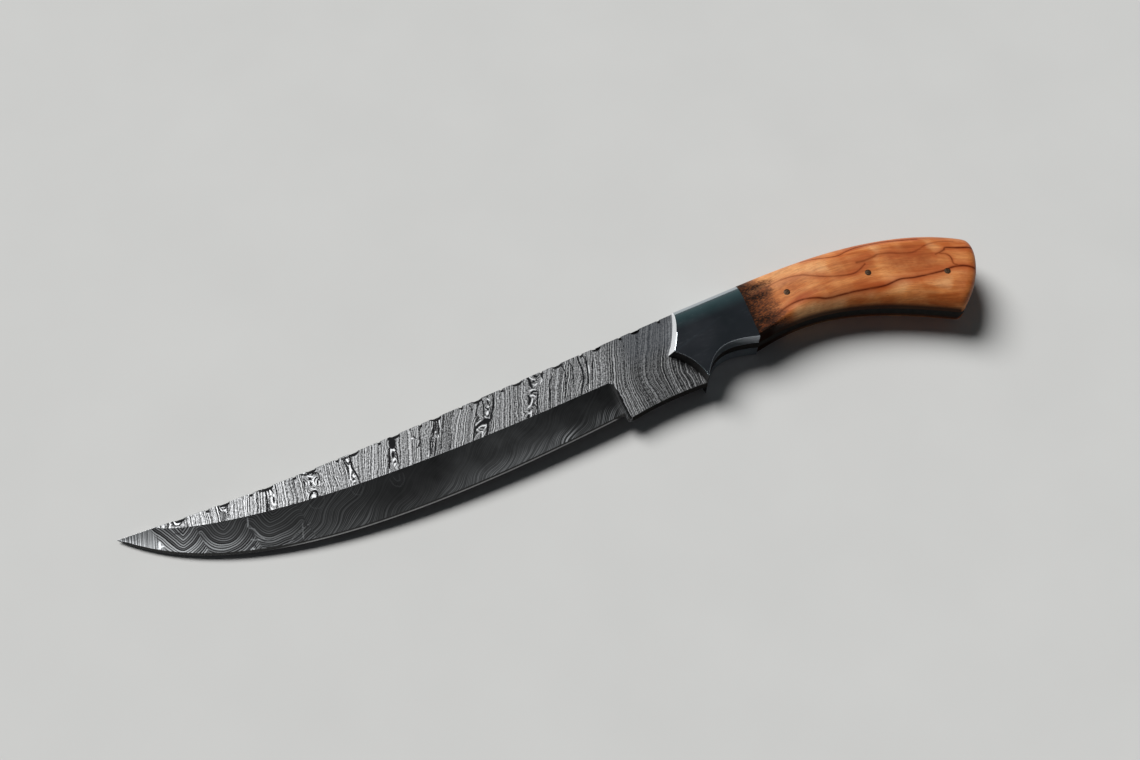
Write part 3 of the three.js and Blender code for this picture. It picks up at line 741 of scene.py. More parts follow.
def dress_blade(obj):
    x, y, z = drawing_points(obj).T
    shifted = np.where(z < 0, x + PATTERN_SHIFT, x)
    phase, bold = layer_field(shifted, y)
    ink = stroke_field(shifted, y, spread(STROKES))
    filed = np.maximum(*(file_depth(x, side) * (np.sign(z) == side) for side in (1, -1)))
    # Painted shadow: the pattern is inked black where the file work cuts into the spine's corner
    top = smooth(y - spine_y(x) + filed, -0.9, -0.35) * (x < GUARD_TIP[0])
    ink -= (1 + ink) * top * smooth(filed, 0.15, 0.35)
    contour, clear, tone = contour_field(x, y)
    mark = stroke_field(shifted, y, GRIND_STROKES)
    # Painted light: the grind's very tip is made as light as the flat, for the light it catches like the
    # flat
    bright = smooth(-x - 0.25 * y, 202.2, 203.6)
    ruled = smooth(x, -35, -29) * (1 - smooth(y, -15, -7))
    calm = smooth(x, -36, -20) * (1 - 0.3 * ruled)
    # Painted highlight and painted shadow on the sharpened edge: a thin light line by the apex from the
    # middle of the blade back to the heel, near black towards the tip and away from the apex
    shining = smooth(x, -182, -150) * (1 - smooth(x, -38, -35))
    keen = (1 - smooth(y - edge_y(x), 0, EDGE_BEVEL)) * shining
    # Near the bolster's top the ricasso's lines fade into a flat bluish grey
    worn = smooth(x, -30, -18) * smooth(y, -17, -9)
    # Painted light: the flat is made lighter towards the tip
    pale = np.interp(x, *np.transpose(FLAT_TONE))
    store(obj, calm=calm, ruled=ruled, worn=worn, pale=pale, layer=phase, bold=bold, ink=ink,
          bright=bright, contour=contour, clear=clear, tone=tone, mark=mark, keen=keen)


# Bolsters


def bend(a, b, hollow, t):
    """A line from a to b that curves in by hollow."""
    a, b = np.array(a, float), np.array(b, float)
    across = np.array([a[1] - b[1], b[0] - a[0]]) / np.linalg.norm(a - b)
    middle = (a + b) / 2 + across * 2 * hollow
    t = t[:, None]
    return (1 - t) ** 2 * a + 2 * (1 - t) * t * middle + t ** 2 * b


def bolster_slice(h):
    """Outline of the bolster at a share h of its height, anticlockwise from the top of the front."""
    roof = -TOP_ROUND * (1 - math.sqrt(max(1 - h * h, 0)))
    top = (UPPER_SLOPE * h, 0.0)
    point = (-POINT_REACH + POINT_LEAN[0] * h, -POINT_DROP - POINT_LEAN[1] * h)
    search = np.linspace(0, 1, SEARCH_STEPS)
    first = np.interp(-roof, -bend(top, point, UPPER_HOLLOW, search)[:, 1], search)
    upper = bend(top, point, UPPER_HOLLOW, np.linspace(first, 1, UPPER_COUNT + 1))
    lower = bend(point, GUARD_TIP, LOWER_HOLLOW, np.linspace(0, 1, LOWER_COUNT + 1))
    arch = ARCH.along(np.linspace(0, 1, ARCH_COUNT + 1))
    joint_y = np.linspace(JOINT_FOOT[1], roof, JOINT_COUNT + 1)
    joint = np.column_stack([BOLSTER_LENGTH + JOINT_SLANT * joint_y / FRONT_WIDTH, joint_y])
    top_x = np.linspace(joint[-1, 0], upper[0, 0], TOP_COUNT + 1)
    spine = np.column_stack([top_x, np.full_like(top_x, roof)])
    outline = np.concatenate([line[:-1] for line in (upper, lower, arch, joint, spine)])
    # The rim is rounded along the front and the arch, not at the joint or the top
    free = UPPER_COUNT + LOWER_COUNT + ARCH_COUNT
    short = (1 - h) * BOLSTER_THICKNESS
    inset = EDGE_ROUND - math.sqrt(EDGE_ROUND ** 2 - max(EDGE_ROUND - short, 0) ** 2)
    tangent = np.roll(outline, -1, 0) - np.roll(outline, 1, 0)
    inward = np.column_stack([-tangent[:, 1], tangent[:, 0]])
    inward /= np.linalg.norm(tangent, axis=1)[:, None]
    outline[1:free] += inward[1:free] * inset
    return outline


# Materials of a bolster's faces, by number
MIRROR_FACE, MATTE_FACE, BEVEL_FACE = range(3)


def build_bolster(name, side):
    heights = np.sin(np.linspace(0, math.pi / 2, BOLSTER_RINGS + 1))
    rings = []
    for h in heights:
        outline = bolster_slice(h)
        z = np.full(len(outline), SEAT + h * BOLSTER_THICKNESS)
        rings.append(np.column_stack([outline, z]))
    index = np.full((BOLSTER_RINGS, len(rings[0])), MIRROR_FACE)
    below = heights[1:] < 1 - EDGE_ROUND / BOLSTER_THICKNESS
    # Painted highlight on the upper front faces
    index[below, :UPPER_COUNT] = BEVEL_FACE
    # Painted shade on the lower front faces
    index[below, UPPER_COUNT:UPPER_COUNT + LOWER_COUNT] = MATTE_FACE
    index = np.append(index, [MIRROR_FACE, MIRROR_FACE])
    return loft(name, rings, BOLSTER_CREASE, index, side)


# Scales and pins

MIDDLE_LENGTH = (BACK.length + BELLY.length) / 2
PIN_INSETS = (FRONT_PIN_INSET, MIDDLE_PIN_INSET, MIDDLE_LENGTH - REAR_PIN_INSET)
PIN_NODES = ("handle_pin_front", "handle_pin_middle", "handle_pin_rear")
PINS = tuple(zip(PIN_NODES, PIN_INSETS, PIN_DROPS))
# Broken edge and faint dome of a pin's end: share of the radius, height in millimetres
PIN_END = ((0.45, -0.01), (0.8, -0.03), (0.95, -0.06), (1.0, -0.12))
CUTTER_LIFT, CUTTER_DEPTH = 5, 20


def pin_place(inset, drop):
    s = np.array([inset / MIDDLE_LENGTH])
    t = -2 * drop / handle_width(s)
    return handle_point(s, t)[0], SEAT + float(scale_height(s, t)[0]) - PIN_RECESS


def build_scale(name, side):
    last = 1 - BUTT_ROUND / BACK.length
    turn = np.sin(np.linspace(0, math.pi / 2, BUTT_RINGS + 1))[1:]
    stations = np.concatenate([np.linspace(0, last, SCALE_RINGS + 1), last + (1 - last) * turn])
    over_t = np.cos(np.linspace(0, math.pi, OVER_POINTS + 1))
    under_t = np.linspace(-1, 1, UNDER_POINTS + 1)[1:-1]
    rings = []
    for s in stations:
        over = handle_point(np.full_like(over_t, s), over_t)
        top = np.column_stack([over, SEAT + scale_height(np.full_like(over_t, s), over_t)])
        under = handle_point(np.full_like(under_t, s), under_t)
        bottom = np.column_stack([under, np.full(len(under), SEAT)])
        rings.append(np.concatenate([top, bottom]))
    rings[0][:, 0] += GLUE_LINE
    obj = loft(name, rings, SCALE_CREASE, side=side)
    drill(obj, side)
    return obj


def drill(obj, side):
    """Cuts the pin holes."""
    cutter = bmesh.new()
    for _, inset, drop in PINS:
        at, _ = pin_place(inset, drop)
        centre = place([at[0], at[1], side * (SEAT + CUTTER_LIFT)])
        radius = (PIN_DIAMETER / 2 + PIN_CLEARANCE) * MM
        bmesh.ops.create_cone(
            cutter, cap_ends=True, segments=PIN_SIDES, radius1=radius, radius2=radius,
            depth=CUTTER_DEPTH * MM, matrix=Matrix.Translation(Vector(centre)))
    mesh = bpy.data.meshes.new("cutter")
    cutter.to_mesh(mesh)
    cutter.free()
    tool = add("cutter", mesh)
    modifier = obj.modifiers.new("holes", "BOOLEAN")
    modifier.operation = "DIFFERENCE"
    modifier.solver = "EXACT"
    modifier.object = tool
    graph = bpy.context.evaluated_depsgraph_get()
    cut = bpy.data.meshes.new_from_object(obj.evaluated_get(graph))
    obj.modifiers.clear()
    obj.data = cut
    soften(cut, SCALE_CREASE)
    bpy.data.objects.remove(tool)


def build_pin(name, inset, drop):
    """A turned pin with a broken edge and a faintly domed end."""
    at, half = pin_place(inset, drop)
    radius = PIN_DIAMETER / 2
    upper = [(share * radius, half + rise) for share, rise in PIN_END]
    lower = [(r, -z) for r, z in upper[::-1]]
    angle = np.linspace(0, 2 * math.pi, PIN_SIDES, endpoint=False)
    rings = []
    for r, z in (upper + lower)[::-1]:
        x, y = at[0] + r * np.cos(angle), at[1] + r * np.sin(angle)
        rings.append(np.column_stack([x, y, np.full_like(x, z)]))
    return loft(name, rings, PIN_CREASE)


# Figure of the wood

# Each vein: half width at its start and end, darkness at its start and end, path over the side view
VEINS = (
    (0.7, 0.8, 0.9, 1.2, 245, -232, 295, -209, 345, -192, 395, -181, 445, -182, 495, -197, 535, -215,
     595, -226, 645, -236, 695, -249, 755, -263, 815, -264, 865, -279, 925, -292, 985, -302,
     1015, -302, 1055, -312, 1095, -338),
    (0.5, 0.55, 0.6, 0.85, 295, -94, 345, -77, 395, -71, 445, -74, 495, -89, 535, -114, 575, -137,
     625, -157, 665, -168, 695, -165, 730, -151),
    (0.9, 0.5, 0.7, 0.6, 705, -132, 735, -137, 775, -137, 795, -134, 835, -147, 875, -167, 915, -182,
     945, -181, 985, -174, 1035, -180, 1085, -202),
    (0.5, 0.55, 0.8, 1.1, 530, -26, 570, -38, 620, -60, 660, -71, 700, -66, 740, -64, 780, -70,
     840, -83, 900, -104, 970, -130),
    (0.5, 0.95, 0.9, 1.25, 991, -227, 1026, -224, 1041, -217, 1076, -234, 1131, -255),
    (0.45, 0.5, 0.9, 0.9, 1006, -229, 1028, -244, 1036, -264, 1031, -289, 1041, -301),
)
# Broad light (1) and dark (-1) patches, partly painted sheen and light (the light and dark bands of the
# wood's chatoyance), partly the wood's own lighter and darker zones: tone, half width, path
PATCHES = (
    (0.6, 3.6, 330, -54, 460, -50, 570, -84),
    (0.9, 2.6, 420, -220, 520, -232, 600, -250, 680, -284),
    (0.7, 3, 785, -105, 800, -180, 815, -290),
    (0.6, 3, 925, -300, 960, -350),
    (0.6, 2, 980, -170, 1000, -215),
    (-0.7, 3.2, 1055, -360, 995, -420),
    (-0.9, 5, 835, -185, 885, -215, 945, -250),
    (-0.5, 2, 625, -100, 695, -110, 765, -116),
    (-0.6, 1.8, 625, -140, 685, -156, 745, -158),
    (-0.5, 2.6, 615, -275, 695, -310, 765, -335),
    (-0.6, 2.8, 835, -340, 895, -380, 945, -420),
    (-0.5, 1.8, 895, -145, 965, -158),
)
# Burnt patches by the bolster: depth, half width, path
BURNS = (
    (0.95, 2, 240, -46, 310, -50, 390, -56),
    (1, 2.8, 240, -94, 310, -98, 360, -94),
    (0.75, 3, 240, -140, 310, -144, 360, -150),
    (1, 2.8, 240, -186, 310, -194, 380, -206),
    (1.15, 2.4, 230, -244, 310, -238, 380, -238, 430, -248),
)


def vein_field(x, y):
    """Dark veins and the reddish glow beside them."""
    dark, glow = np.zeros_like(x), np.zeros_like(x)
    for w0, w1, d0, d1, *path in VEINS:
        line = sample_path(path)
        distance, nearest = nearest_on(line, x, y)
        at = nearest / (len(line) - 1)
        width = w0 + (w1 - w0) * at
        power = d0 + (d1 - d0) * at
        core = np.exp(-(distance / (0.52 * width)) ** 2)
        halo = np.exp(-(distance / (1.5 * width)) ** 2)
        dark = np.maximum(dark, power * (0.85 * core + 0.15 * halo))
        glow = np.maximum(glow, power * np.exp(-(distance / (3.2 * width)) ** 2))
    return dark, glow


def dress_scale(obj, side):
    x, y, z = drawing_points(obj).T
    shift = 0.0 if side > 0 else FIGURE_SHIFT
    dark, glow = vein_field(x + shift, y - shift * 0.8)
    across = y + 0.0042 * np.maximum(x - 45, 0) ** 2 + 0.15 * np.abs(z)
    # Painted sheen and light, with the wood's own lighter and darker zones
    figure = stroke_field(x + shift, y, PATCHES, 0.0, 2.0, 0.0)
    joint = x - (BOLSTER_LENGTH + JOINT_SLANT * y / FRONT_WIDTH)
    burns = stroke_field(x + shift, y, BURNS, 0.0, 2.0, 0.3) * (1 - smooth(joint, 4.0, 19.0))
    scorch = np.maximum(burns, 0.95 * (1 - smooth(joint, 0.0, 13.0)))
    belly = np.interp(x, BELLY.points[:, 0], BELLY.points[:, 1])
    # Painted shade: the wood darkens within a few millimetres of the belly, where the handle turns away
    # from the light
    under = 1 - smooth(y - belly, 0.0, 3.4)
    store(obj, vein=dark, glow=glow, across=across, figure=figure, scorch=scorch, under=under)


# Materials


class Graph:
    """Short calls for building a node material, or the world if its tree is given."""

    def __init__(self, name, tree=None):
        self.tree = tree
        if tree:
            tree.nodes.clear()
            return
        self.material = bpy.data.materials.new(name)
        self.material.use_nodes = True
        self.tree = self.material.node_tree
        self.tree.nodes.clear()
        out = self.node("OutputMaterial")
        self.shader = self.node("BsdfPrincipled")
        self.tree.links.new(self.shader.outputs["BSDF"], out.inputs["Surface"])

    def node(self, kind, *values, **settings):
        """A new node, with values or links for its first sockets."""
        node = self.tree.nodes.new("ShaderNode" + kind)
        for key, value in settings.items():
            setattr(node, key, value)
        for socket, value in zip(node.inputs, values):
            self.put(socket, value)
        return node

    def put(self, socket, value):
        if isinstance(value, bpy.types.NodeSocket):
            self.tree.links.new(value, socket)
        elif isinstance(value, tuple) and socket.type == "RGBA":
            socket.default_value = (*value, 1.0)
        else:
            socket.default_value = value

    def set(self, **values):
        names = {"color": "Base Color", "specular": "Specular IOR Level"}
        for key, value in values.items():
            self.put(self.shader.inputs[names.get(key, key.title())], value)
        return self.material

    def attribute(self, name):
        return self.node("Attribute", attribute_name=name).outputs["Fac"]

    def position(self, scale=(1, 1, 1)):
        """Place on the object, in millimetres times scale."""
        where = self.node("TexCoord").outputs["Object"]
        factors = tuple(s / MM for s in scale)
        return self.node("VectorMath", where, factors, operation="MULTIPLY").outputs[0]

    def direction(self):
        """Where a ray of the world points."""
        return self.node("TexCoord").outputs["Generated"]

    def combine(self, x, y, z):
        return self.node("CombineXYZ", x, y, z).outputs[0]

    def split(self, vector):
        return self.node("SeparateXYZ", vector).outputs

    def math(self, operation, a, b=0.0, clamp=False):
        return self.node("Math", a, b, operation=operation, use_clamp=clamp).outputs[0]

    def plus(self, a, b):
        return self.math("ADD", a, b)

    def times(self, a, b, clamp=False):
        return self.math("MULTIPLY", a, b, clamp)

    def minus(self, a, b, clamp=False):
        return self.math("SUBTRACT", a, b, clamp)

    def noise(self, vector=None, w=None, scale=1.0, detail=2.0, rough=0.5, distortion=0.0):
        """Noise over a place, or along one number w."""
        node = self.node("TexNoise", noise_dimensions="3D" if w is None else "1D")
        if w is None:
            self.put(node.inputs["Vector"], vector)
        else:
            self.put(node.inputs["W"], w)
        names = ("Scale", "Detail", "Roughness", "Distortion")
        for key, value in zip(names, (scale, detail, rough, distortion)):
            node.inputs[key].default_value = value
        return node.outputs["Fac"]

    def ramp(self, factor, *stops):
        """Number or colour stops: (place, value)."""
        node = self.node("ValToRGB", factor)
        elements = node.color_ramp.elements
        while len(elements) < len(stops):
            elements.new(1.0)
        for element, (at, value) in zip(elements, stops):
            element.position = at
            element.color = (*(value if isinstance(value, tuple) else (value,) * 3), 1.0)
        return node.outputs["Color"]

    def mix(self, factor, a, b, blend="MIX"):
        node = self.node("Mix", factor, data_type="RGBA", blend_type=blend)
        self.put(node.inputs[6], a)
        self.put(node.inputs[7], b)
        return node.outputs[2]

    def bump(self, height, strength, distance):
        node = self.node("Bump")
        self.put(node.inputs["Height"], height)
        node.inputs["Strength"].default_value = strength
        node.inputs["Distance"].default_value = distance * MM
        return node.outputs[0]


def srgb(r, g, b):
    """A colour as seen on a screen, made linear."""
    return tuple(c / 12.92 if c <= 0.04045 else ((c + 0.055) / 1.055) ** 2.4 for c in (r, g, b))


def flat_steel():
    g = Graph("patterned_flat")
    where = g.position()
    wander = g.noise(where, scale=0.13, detail=2)
    ripple = g.noise(where, scale=0.55, detail=2)
    phase = g.plus(g.attribute("layer"), g.times(wander, 1.6))
    phase = g.plus(phase, g.times(ripple, 0.7))
    broad = g.noise(w=phase, scale=0.7, detail=2, rough=0.6)
    fine = g.noise(w=phase, scale=3.2, detail=2, rough=0.55)
    grain = g.minus(g.noise(where, scale=1.5, detail=2, rough=0.6), 0.5)
    crossing = g.noise(w=g.plus(phase, 400.0), scale=1.2, detail=2, rough=0.6)
    value = g.plus(g.times(broad, 0.15), g.times(fine, 0.85))
    value = g.plus(value, g.times(grain, 0.3))
    quiet = g.ramp(value, (0.41, 0.010), (0.467, 0.06), (0.50, 0.19), (0.533, 0.42), (0.573, 0.64))
    thin = g.ramp(crossing, (0.480, 1.0), (0.495, 0.15), (0.505, 0.15), (0.520, 1.0))
    quiet = g.mix(0.85, quiet, thin, "MULTIPLY")
    loud = g.ramp(value, (0.40, 0.012), (0.47, 0.065), (0.515, 0.23), (0.58, 0.58))
    shade = g.mix(g.times(g.attribute("bold"), 0.8, True), quiet, loud)
    # Painted light: lighter towards the tip, by the pale attribute
    shade = g.mix(1.0, shade, g.attribute("pale"), "MULTIPLY")
    shade = g.mix(g.times(g.attribute("calm"), 0.43), shade, (0.018, 0.018, 0.019))
    # The ricasso's lines fade into a flat bluish grey near the bolster's top
    shade = g.mix(g.times(g.attribute("worn"), 0.45), shade, (0.070, 0.076, 0.086))
    hair = g.noise(w=g.plus(phase, 90.0), scale=1.05, detail=0)
    hair = g.ramp(hair, (0.38, 1.0), (0.47, 0.15), (0.53, 0.15), (0.62, 1.0))
    shade = g.mix(g.times(g.attribute("ruled"), 0.85), shade, hair, "MULTIPLY")
    ink = g.attribute("ink")
    shade = g.mix(g.ramp(ink, (0.15, 0.0), (0.75, 1.0)), shade, (0.60, 0.60, 0.60))
    etched = g.ramp(g.times(ink, -1.0), (0.15, 0.0), (0.45, 1.0))
    shade = g.mix(etched, shade, (0.012, 0.012, 0.013))
    colour = g.mix(1.0, shade, (0.96, 0.975, 1.0), "MULTIPLY")
    rough = g.minus(0.50, g.times(shade, 0.08))
    rough = g.plus(rough, g.times(etched, 0.35))
    metal = g.minus(0.55, g.times(etched, 0.55))
    relief = g.bump(value, 0.2, 0.03)
    return g.set(color=colour, metallic=metal, roughness=rough, specular=0.1, normal=relief)


def hollow_steel():
    g = Graph("patterned_hollow")
    where = g.position()
    wander = g.noise(where, scale=0.14, detail=1)
    phase = g.plus(g.attribute("contour"), g.times(wander, 1.6))
    wave = g.math("SINE", g.times(phase, 7.8))
    lines = g.plus(g.times(g.noise(w=phase, scale=0.9, detail=2), 0.7), 0.15)
    lines = g.plus(lines, g.times(wave, 0.10))
    cloud = g.noise(where, scale=0.12, detail=3)
    lined = g.ramp(lines, (0.37, 0.014), (0.46, 0.048), (0.53, 0.115), (0.60, 0.34))
    plain = g.ramp(cloud, (0.3, 0.034), (0.7, 0.068))
    # Partly painted shade and light: the clear and tone attributes also carry how the grind reflects
    shade = g.mix(1.0, g.mix(g.attribute("clear"), plain, lined), g.attribute("tone"), "MULTIPLY")
    upright = g.noise(w=g.attribute("layer"), scale=2.2, detail=2, rough=0.6)
    upright = g.ramp(upright, (0.36, 0.05), (0.50, 0.15), (0.62, 0.36))
    # Painted light: the grind's tip takes the flat's lighter lines
    shade = g.mix(g.attribute("bright"), shade, upright)
    mark = g.attribute("mark")
    shade = g.mix(g.math("MAXIMUM", mark, 0.0), shade, (0.55, 0.55, 0.55))
    shade = g.mix(g.math("MAXIMUM", g.times(mark, -1.0), 0.0), shade, (0.018, 0.018, 0.019))
    colour = g.mix(1.0, shade, (0.93, 0.965, 1.0), "MULTIPLY")
    rough = g.plus(0.33, g.times(lines, 0.08))
    relief = g.bump(lines, 0.12, 0.02)
    return g.set(color=colour, metallic=0.6, roughness=rough, specular=0.1, normal=relief)


# Painted shade: the tang's edges and the blade's underside are made near black for the shade they lie in
# along the handle's belly
def tang_steel():
    g = Graph("dull_tang")
    scale = g.noise(g.position(), scale=0.6, detail=4)
    colour = g.ramp(scale, (0.3, srgb(0.06, 0.055, 0.05)), (0.7, srgb(0.12, 0.11, 0.10)))
    relief = g.bump(scale, 0.2, 0.04)
    return g.set(color=colour, metallic=0.0, roughness=0.7, specular=0.1, normal=relief)


def edge_steel():
    g = Graph("sharpened_edge")
    scratch = g.noise(g.position((3.0, 0.4, 0.4)), scale=1.0, detail=3)
    # Painted highlight and painted shadow: light by the apex where the highlight mask is high, near
    # black elsewhere
    bare = g.ramp(g.attribute("keen"), (0.45, 0.035), (0.80, 0.30))
    colour = g.mix(1.0, bare, g.ramp(scratch, (0.3, 0.7), (0.7, 1.0)), "MULTIPLY")
    return g.set(color=colour, metallic=1.0, roughness=0.62, normal=g.bump(scratch, 0.1, 0.01))


def mirror_steel():
    g = Graph("polished_bolster")
    haze = g.noise(g.position(), scale=0.09, detail=3)
    scratch = g.noise(g.position((0.25, 3.0, 3.0)), scale=1.0, detail=2)
    fine = g.ramp(scratch, (0.62, 0.0), (0.70, 1.0))
    colour = g.ramp(haze, (0.3, srgb(0.73, 0.775, 0.797)), (0.7, srgb(0.807, 0.828, 0.86)))
    rough = g.plus(g.times(haze, 0.08), g.times(fine, 0.05))
    rough = g.plus(rough, 0.06)
    return g.set(color=colour, metallic=1.0, roughness=rough, normal=g.bump(fine, 0.03, 0.01))


# Painted shade: the guard's lower front faces are made dark where polished steel would show the dark it
# reflects
def matte_steel():
    g = Graph("dark_guard_face")
    speck = g.noise(g.position(), scale=1.1, detail=4, rough=0.7)
    colour = g.ramp(speck, (0.35, srgb(0.09, 0.085, 0.085)), (0.65, srgb(0.22, 0.21, 0.21)))
    return g.set(color=colour, metallic=0.5, roughness=0.5, normal=g.bump(speck, 0.15, 0.03))


# Painted highlight: the bolster's upper front faces are made near white for the bright light they
# reflect
def satin_steel():
    g = Graph("satin_bevel")
    brushed = g.noise(g.position((0.6, 0.6, 4.0)), scale=1.0, detail=3)
    colour = g.ramp(brushed, (0.3, (0.88, 0.89, 0.91)), (0.7, (0.96, 0.965, 0.98)))
    return g.set(color=colour, metallic=0.6, roughness=0.65, normal=g.bump(brushed, 0.05, 0.01))


def olive_wood(name, offset):
    g = Graph(name)
    x, _, z = g.split(g.position())
    across = g.plus(g.attribute("across"), offset)

    def grain(along, over, deep):
        return g.combine(g.times(x, along), g.times(across, over), g.times(z, deep))

    broad = g.noise(grain(0.05, 0.30, 0.30), detail=4, rough=0.55, distortion=0.6)
    fibre = g.noise(grain(0.22, 2.6, 2.6), detail=3, rough=0.6)
    sheen = g.noise(grain(0.10, 0.025, 0.0), detail=3)
    body = g.ramp(
        broad, (0.30, srgb(0.63, 0.32, 0.12)), (0.45, srgb(0.75, 0.43, 0.20)),
        (0.56, srgb(0.82, 0.51, 0.27)), (0.72, srgb(0.90, 0.62, 0.38)))
    body = g.mix(g.ramp(sheen, (0.48, 0.0), (0.70, 0.45)), body, srgb(0.94, 0.66, 0.41))
    body = g.mix(g.ramp(sheen, (0.28, 0.55), (0.52, 0.0)), body, srgb(0.66, 0.31, 0.11))
    mottle = g.plus(0.3, g.noise(g.position(), scale=0.5, detail=3))
    # Painted sheen and light: light and dark patches for the wood's chatoyance, with zones of its own
    # tone
    figure = g.times(g.attribute("figure"), mottle)
    body = g.mix(g.times(figure, 0.9, True), body, srgb(0.97, 0.76, 0.53))
    body = g.mix(g.times(figure, -0.9, True), body, srgb(0.60, 0.28, 0.11))
    body = g.mix(0.6, body, g.ramp(fibre, (0.30, 0.50), (0.62, 1.0)), "MULTIPLY")
    pores = g.noise(grain(0.55, 6.0, 6.0), detail=2)
    body = g.mix(g.ramp(pores, (0.30, 0.45), (0.40, 0.0)), body, srgb(0.52, 0.24, 0.10))
    glow = g.times(g.attribute("glow"), g.plus(0.3, g.times(fibre, 0.5)))
    body = g.mix(glow, body, srgb(0.66, 0.27, 0.09))
    patchy = g.noise(grain(0.25, 0.4, 0.0), detail=2)
    broken = g.times(g.plus(0.55, fibre), g.ramp(patchy, (0.35, 0.7), (0.6, 1.0)), True)
    body = g.mix(g.times(g.attribute("vein"), broken, True), body, srgb(0.33, 0.11, 0.04))
    streak = g.minus(g.noise(grain(0.9, 2.4, 2.4), detail=3, rough=0.65), 0.5)
    scorch = g.plus(g.attribute("scorch"), g.times(streak, 1.5))
    char = g.ramp(
        scorch, (0.2, srgb(0.52, 0.28, 0.13)), (0.55, srgb(0.36, 0.19, 0.10)),
        (1.0, srgb(0.11, 0.07, 0.05)))
    reach = g.ramp(g.attribute("scorch"), (0.0, 0.0), (0.40, 1.0))
    burnt = g.times(g.ramp(scorch, (0.0, 0.0), (0.50, 0.80), (0.9, 1.0)), reach)
    body = g.mix(burnt, body, char)
    # Painted shade: darker towards the belly
    under = g.attribute("under")
    body = g.mix(g.ramp(under, (0.80, 0.0), (0.92, 0.45), (0.99, 0.94)), body, srgb(0.11, 0.055, 0.03))
    dull = g.math("MAXIMUM", g.attribute("vein"), g.math("MAXIMUM", under, g.attribute("scorch")))
    gloss = g.minus(0.35, g.times(dull, 0.30), True)
    rough = g.plus(0.36, g.times(fibre, 0.16))
    return g.set(color=body, roughness=rough, specular=gloss, normal=g.bump(fibre, 0.18, 0.05))


def dark_steel():
    g = Graph("dark_pin_steel")
    turned = g.noise(g.position(), scale=2.6, detail=3)
    colour = g.ramp(turned, (0.3, srgb(0.20, 0.13, 0.09)), (0.7, srgb(0.46, 0.36, 0.28)))
    rough = g.plus(0.30, g.times(turned, 0.2))
    return g.set(color=colour, metallic=0.8, roughness=rough, normal=g.bump(turned, 0.2, 0.04))


# Build

FLAT, HOLLOW, SHARP, DULL = flat_steel(), hollow_steel(), edge_steel(), tang_steel()
MIRROR, GUARD_FACE, BEVEL, PIN_STEEL = mirror_steel(), matte_steel(), satin_steel(), dark_steel()

blade = build_blade()
dress_blade(blade)
for m in (FLAT, HOLLOW, SHARP, DULL):
    blade.data.materials.append(m)
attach(blade, "root")
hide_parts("blade")

WOODS = (olive_wood("olive_wood_left", 0.0), olive_wood("olive_wood_right", 7.0))
for word, side, wood in zip(("left", "right"), (1, -1), WOODS):
    bolster = build_bolster(f"bolster_{word}_steel", side)
    for m in (MIRROR, GUARD_FACE, BEVEL):
        bolster.data.materials.append(m)
    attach(bolster, "root")
    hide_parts(f"bolster_{word}")
    scale = build_scale(f"scale_{word}_wood", side)
    dress_scale(scale, side)
    scale.data.materials.clear()
    scale.data.materials.append(wood)
    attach(scale, "root")
    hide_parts(f"scale_{word}")

for node, inset, drop in PINS:
    pin = build_pin(node + "_turned", inset, drop)
    pin.data.materials.append(PIN_STEEL)
    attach(pin, "root")
    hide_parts(node)

for node in ("bolster_pin_upper", "bolster_pin_lower"):
    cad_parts[node].data.materials.clear()
    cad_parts[node].data.materials.append(PIN_STEEL)

# Stage: the knife rests on its tip and its handle, so the floor leans to meet both
FLOOR_PITCH = math.radians(1.7)
FLOOR_NORMAL = Vector((math.sin(FLOOR_PITCH), 0.0, math.cos(FLOOR_PITCH)))
lowest = math.inf
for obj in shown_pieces():
    lowest = min(lowest, float((vertices(obj) @ np.array(FLOOR_NORMAL)).min()))

FLOOR_REACH = 20.0
CORNERS = ((-1, -1), (1, -1), (1, 1), (-1, 1))
floor_mesh = bpy.data.meshes.new("floor")
floor_mesh.from_pydata([(FLOOR_REACH * x, FLOOR_REACH * y, 0) for x, y in CORNERS], [], [(0, 1, 2, 3)])
floor = add("floor", floor_mesh)
floor.rotation_mode = "QUATERNION"
floor.rotation_quaternion = Vector((0, 0, 1)).rotation_difference(FLOOR_NORMAL)
floor.location = FLOOR_NORMAL * lowest
g = Graph("pale_floor")
soft = g.noise(g.position((0.02, 0.02, 0.02)), scale=1.0, detail=3)
pale = g.ramp(soft, (0.3, srgb(0.80, 0.80, 0.795)), (0.7, srgb(0.812, 0.812, 0.807)))
floor_mesh.materials.append(g.set(color=pale, roughness=0.8, specular=0.2))

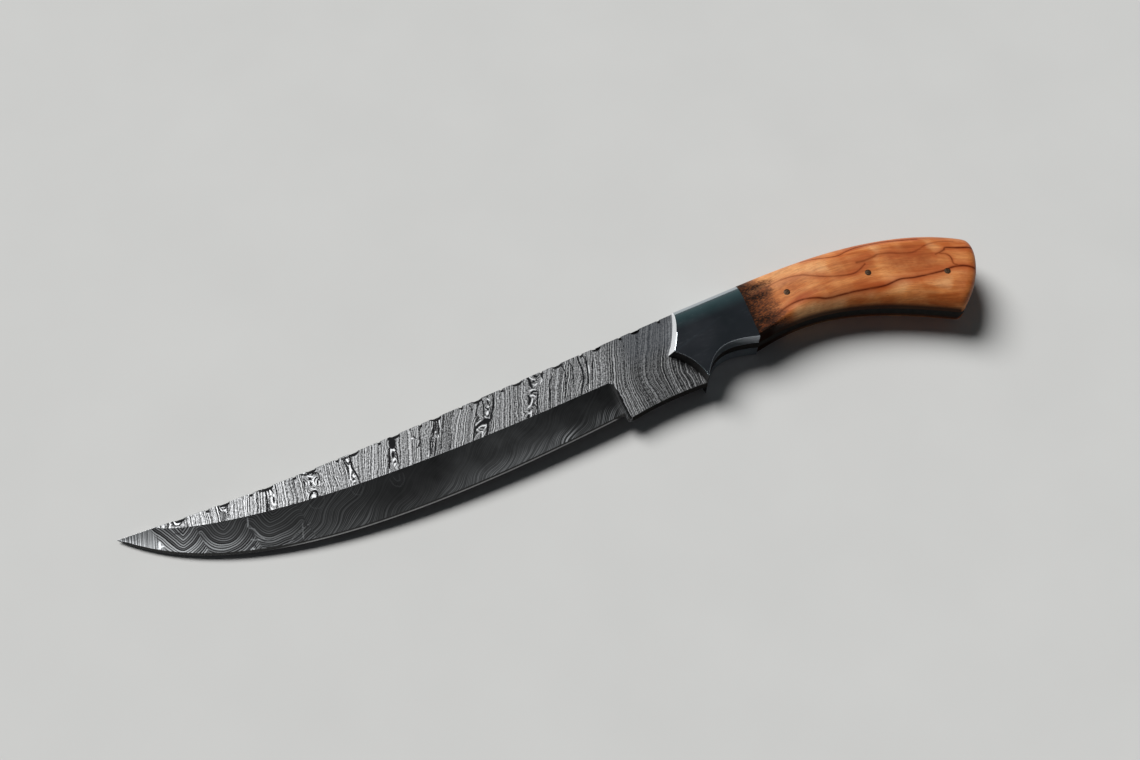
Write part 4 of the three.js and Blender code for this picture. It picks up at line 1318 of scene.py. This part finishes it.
# Light: one broad soft source from the upper left, a pale sky in front and a dim one behind
SUN_TOWARDS, SUN_SPREAD, SUN_STRENGTH = Vector((-0.26, 0.61, 0.75)), math.radians(34.0), 3.95
sun_data = bpy.data.lights.new("window", "SUN")
sun_data.angle = SUN_SPREAD
sun_data.energy = SUN_STRENGTH
sun_data.color = (1.0, 0.995, 0.985)
sun = add("window", sun_data)
sun.rotation_mode = "QUATERNION"
sun.rotation_quaternion = (-SUN_TOWARDS).to_track_quat("-Z", "Y")

world = bpy.data.worlds.new("studio")
bpy.context.scene.world = world
world.use_nodes = True
g = Graph("studio", world.node_tree)
sky = g.split(g.direction())
behind = g.ramp(
    sky[2], (0.0, (0.13, 0.152, 0.152)), (0.30, (0.072, 0.112, 0.112)), (0.62, (0.036, 0.06, 0.062)),
    (0.86, (0.024, 0.026, 0.029)), (1.0, (0.024, 0.024, 0.026)))
ahead = g.ramp(
    sky[2], (0.0, (0.16, 0.16, 0.168)), (0.25, (0.104, 0.104, 0.112)), (0.50, (0.04, 0.04, 0.043)),
    (1.0, (0.024, 0.024, 0.026)))
facing = g.ramp(g.plus(g.times(sky[1], 0.5), 0.5), (0.38, 0.0), (0.55, 1.0))
background = g.node("Background")
g.put(background.inputs["Color"], g.mix(facing, ahead, behind))
g.put(g.node("OutputWorld").inputs["Surface"], background.outputs[0])

# Camera
AZIMUTH, ELEVATION = math.radians(-25.297), math.radians(63.0)
CAMERA_PLACE = (-0.108277, -0.224689, 0.525844)
LENS, SENSOR_WIDTH = 50.0, 36.0
level = math.cos(ELEVATION)
backward = Vector((math.sin(AZIMUTH) * level, -math.cos(AZIMUTH) * level, math.sin(ELEVATION)))
camera_data = bpy.data.cameras.new("camera")
camera_data.lens = LENS
camera_data.sensor_width = SENSOR_WIDTH
camera_data.sensor_fit = "HORIZONTAL"
camera = add("camera", camera_data)
camera.location = CAMERA_PLACE
camera.rotation_mode = "QUATERNION"
camera.rotation_quaternion = (-backward).to_track_quat("-Z", "Y")
bpy.context.scene.camera = camera

bpy.context.scene.view_settings.view_transform = "Standard"
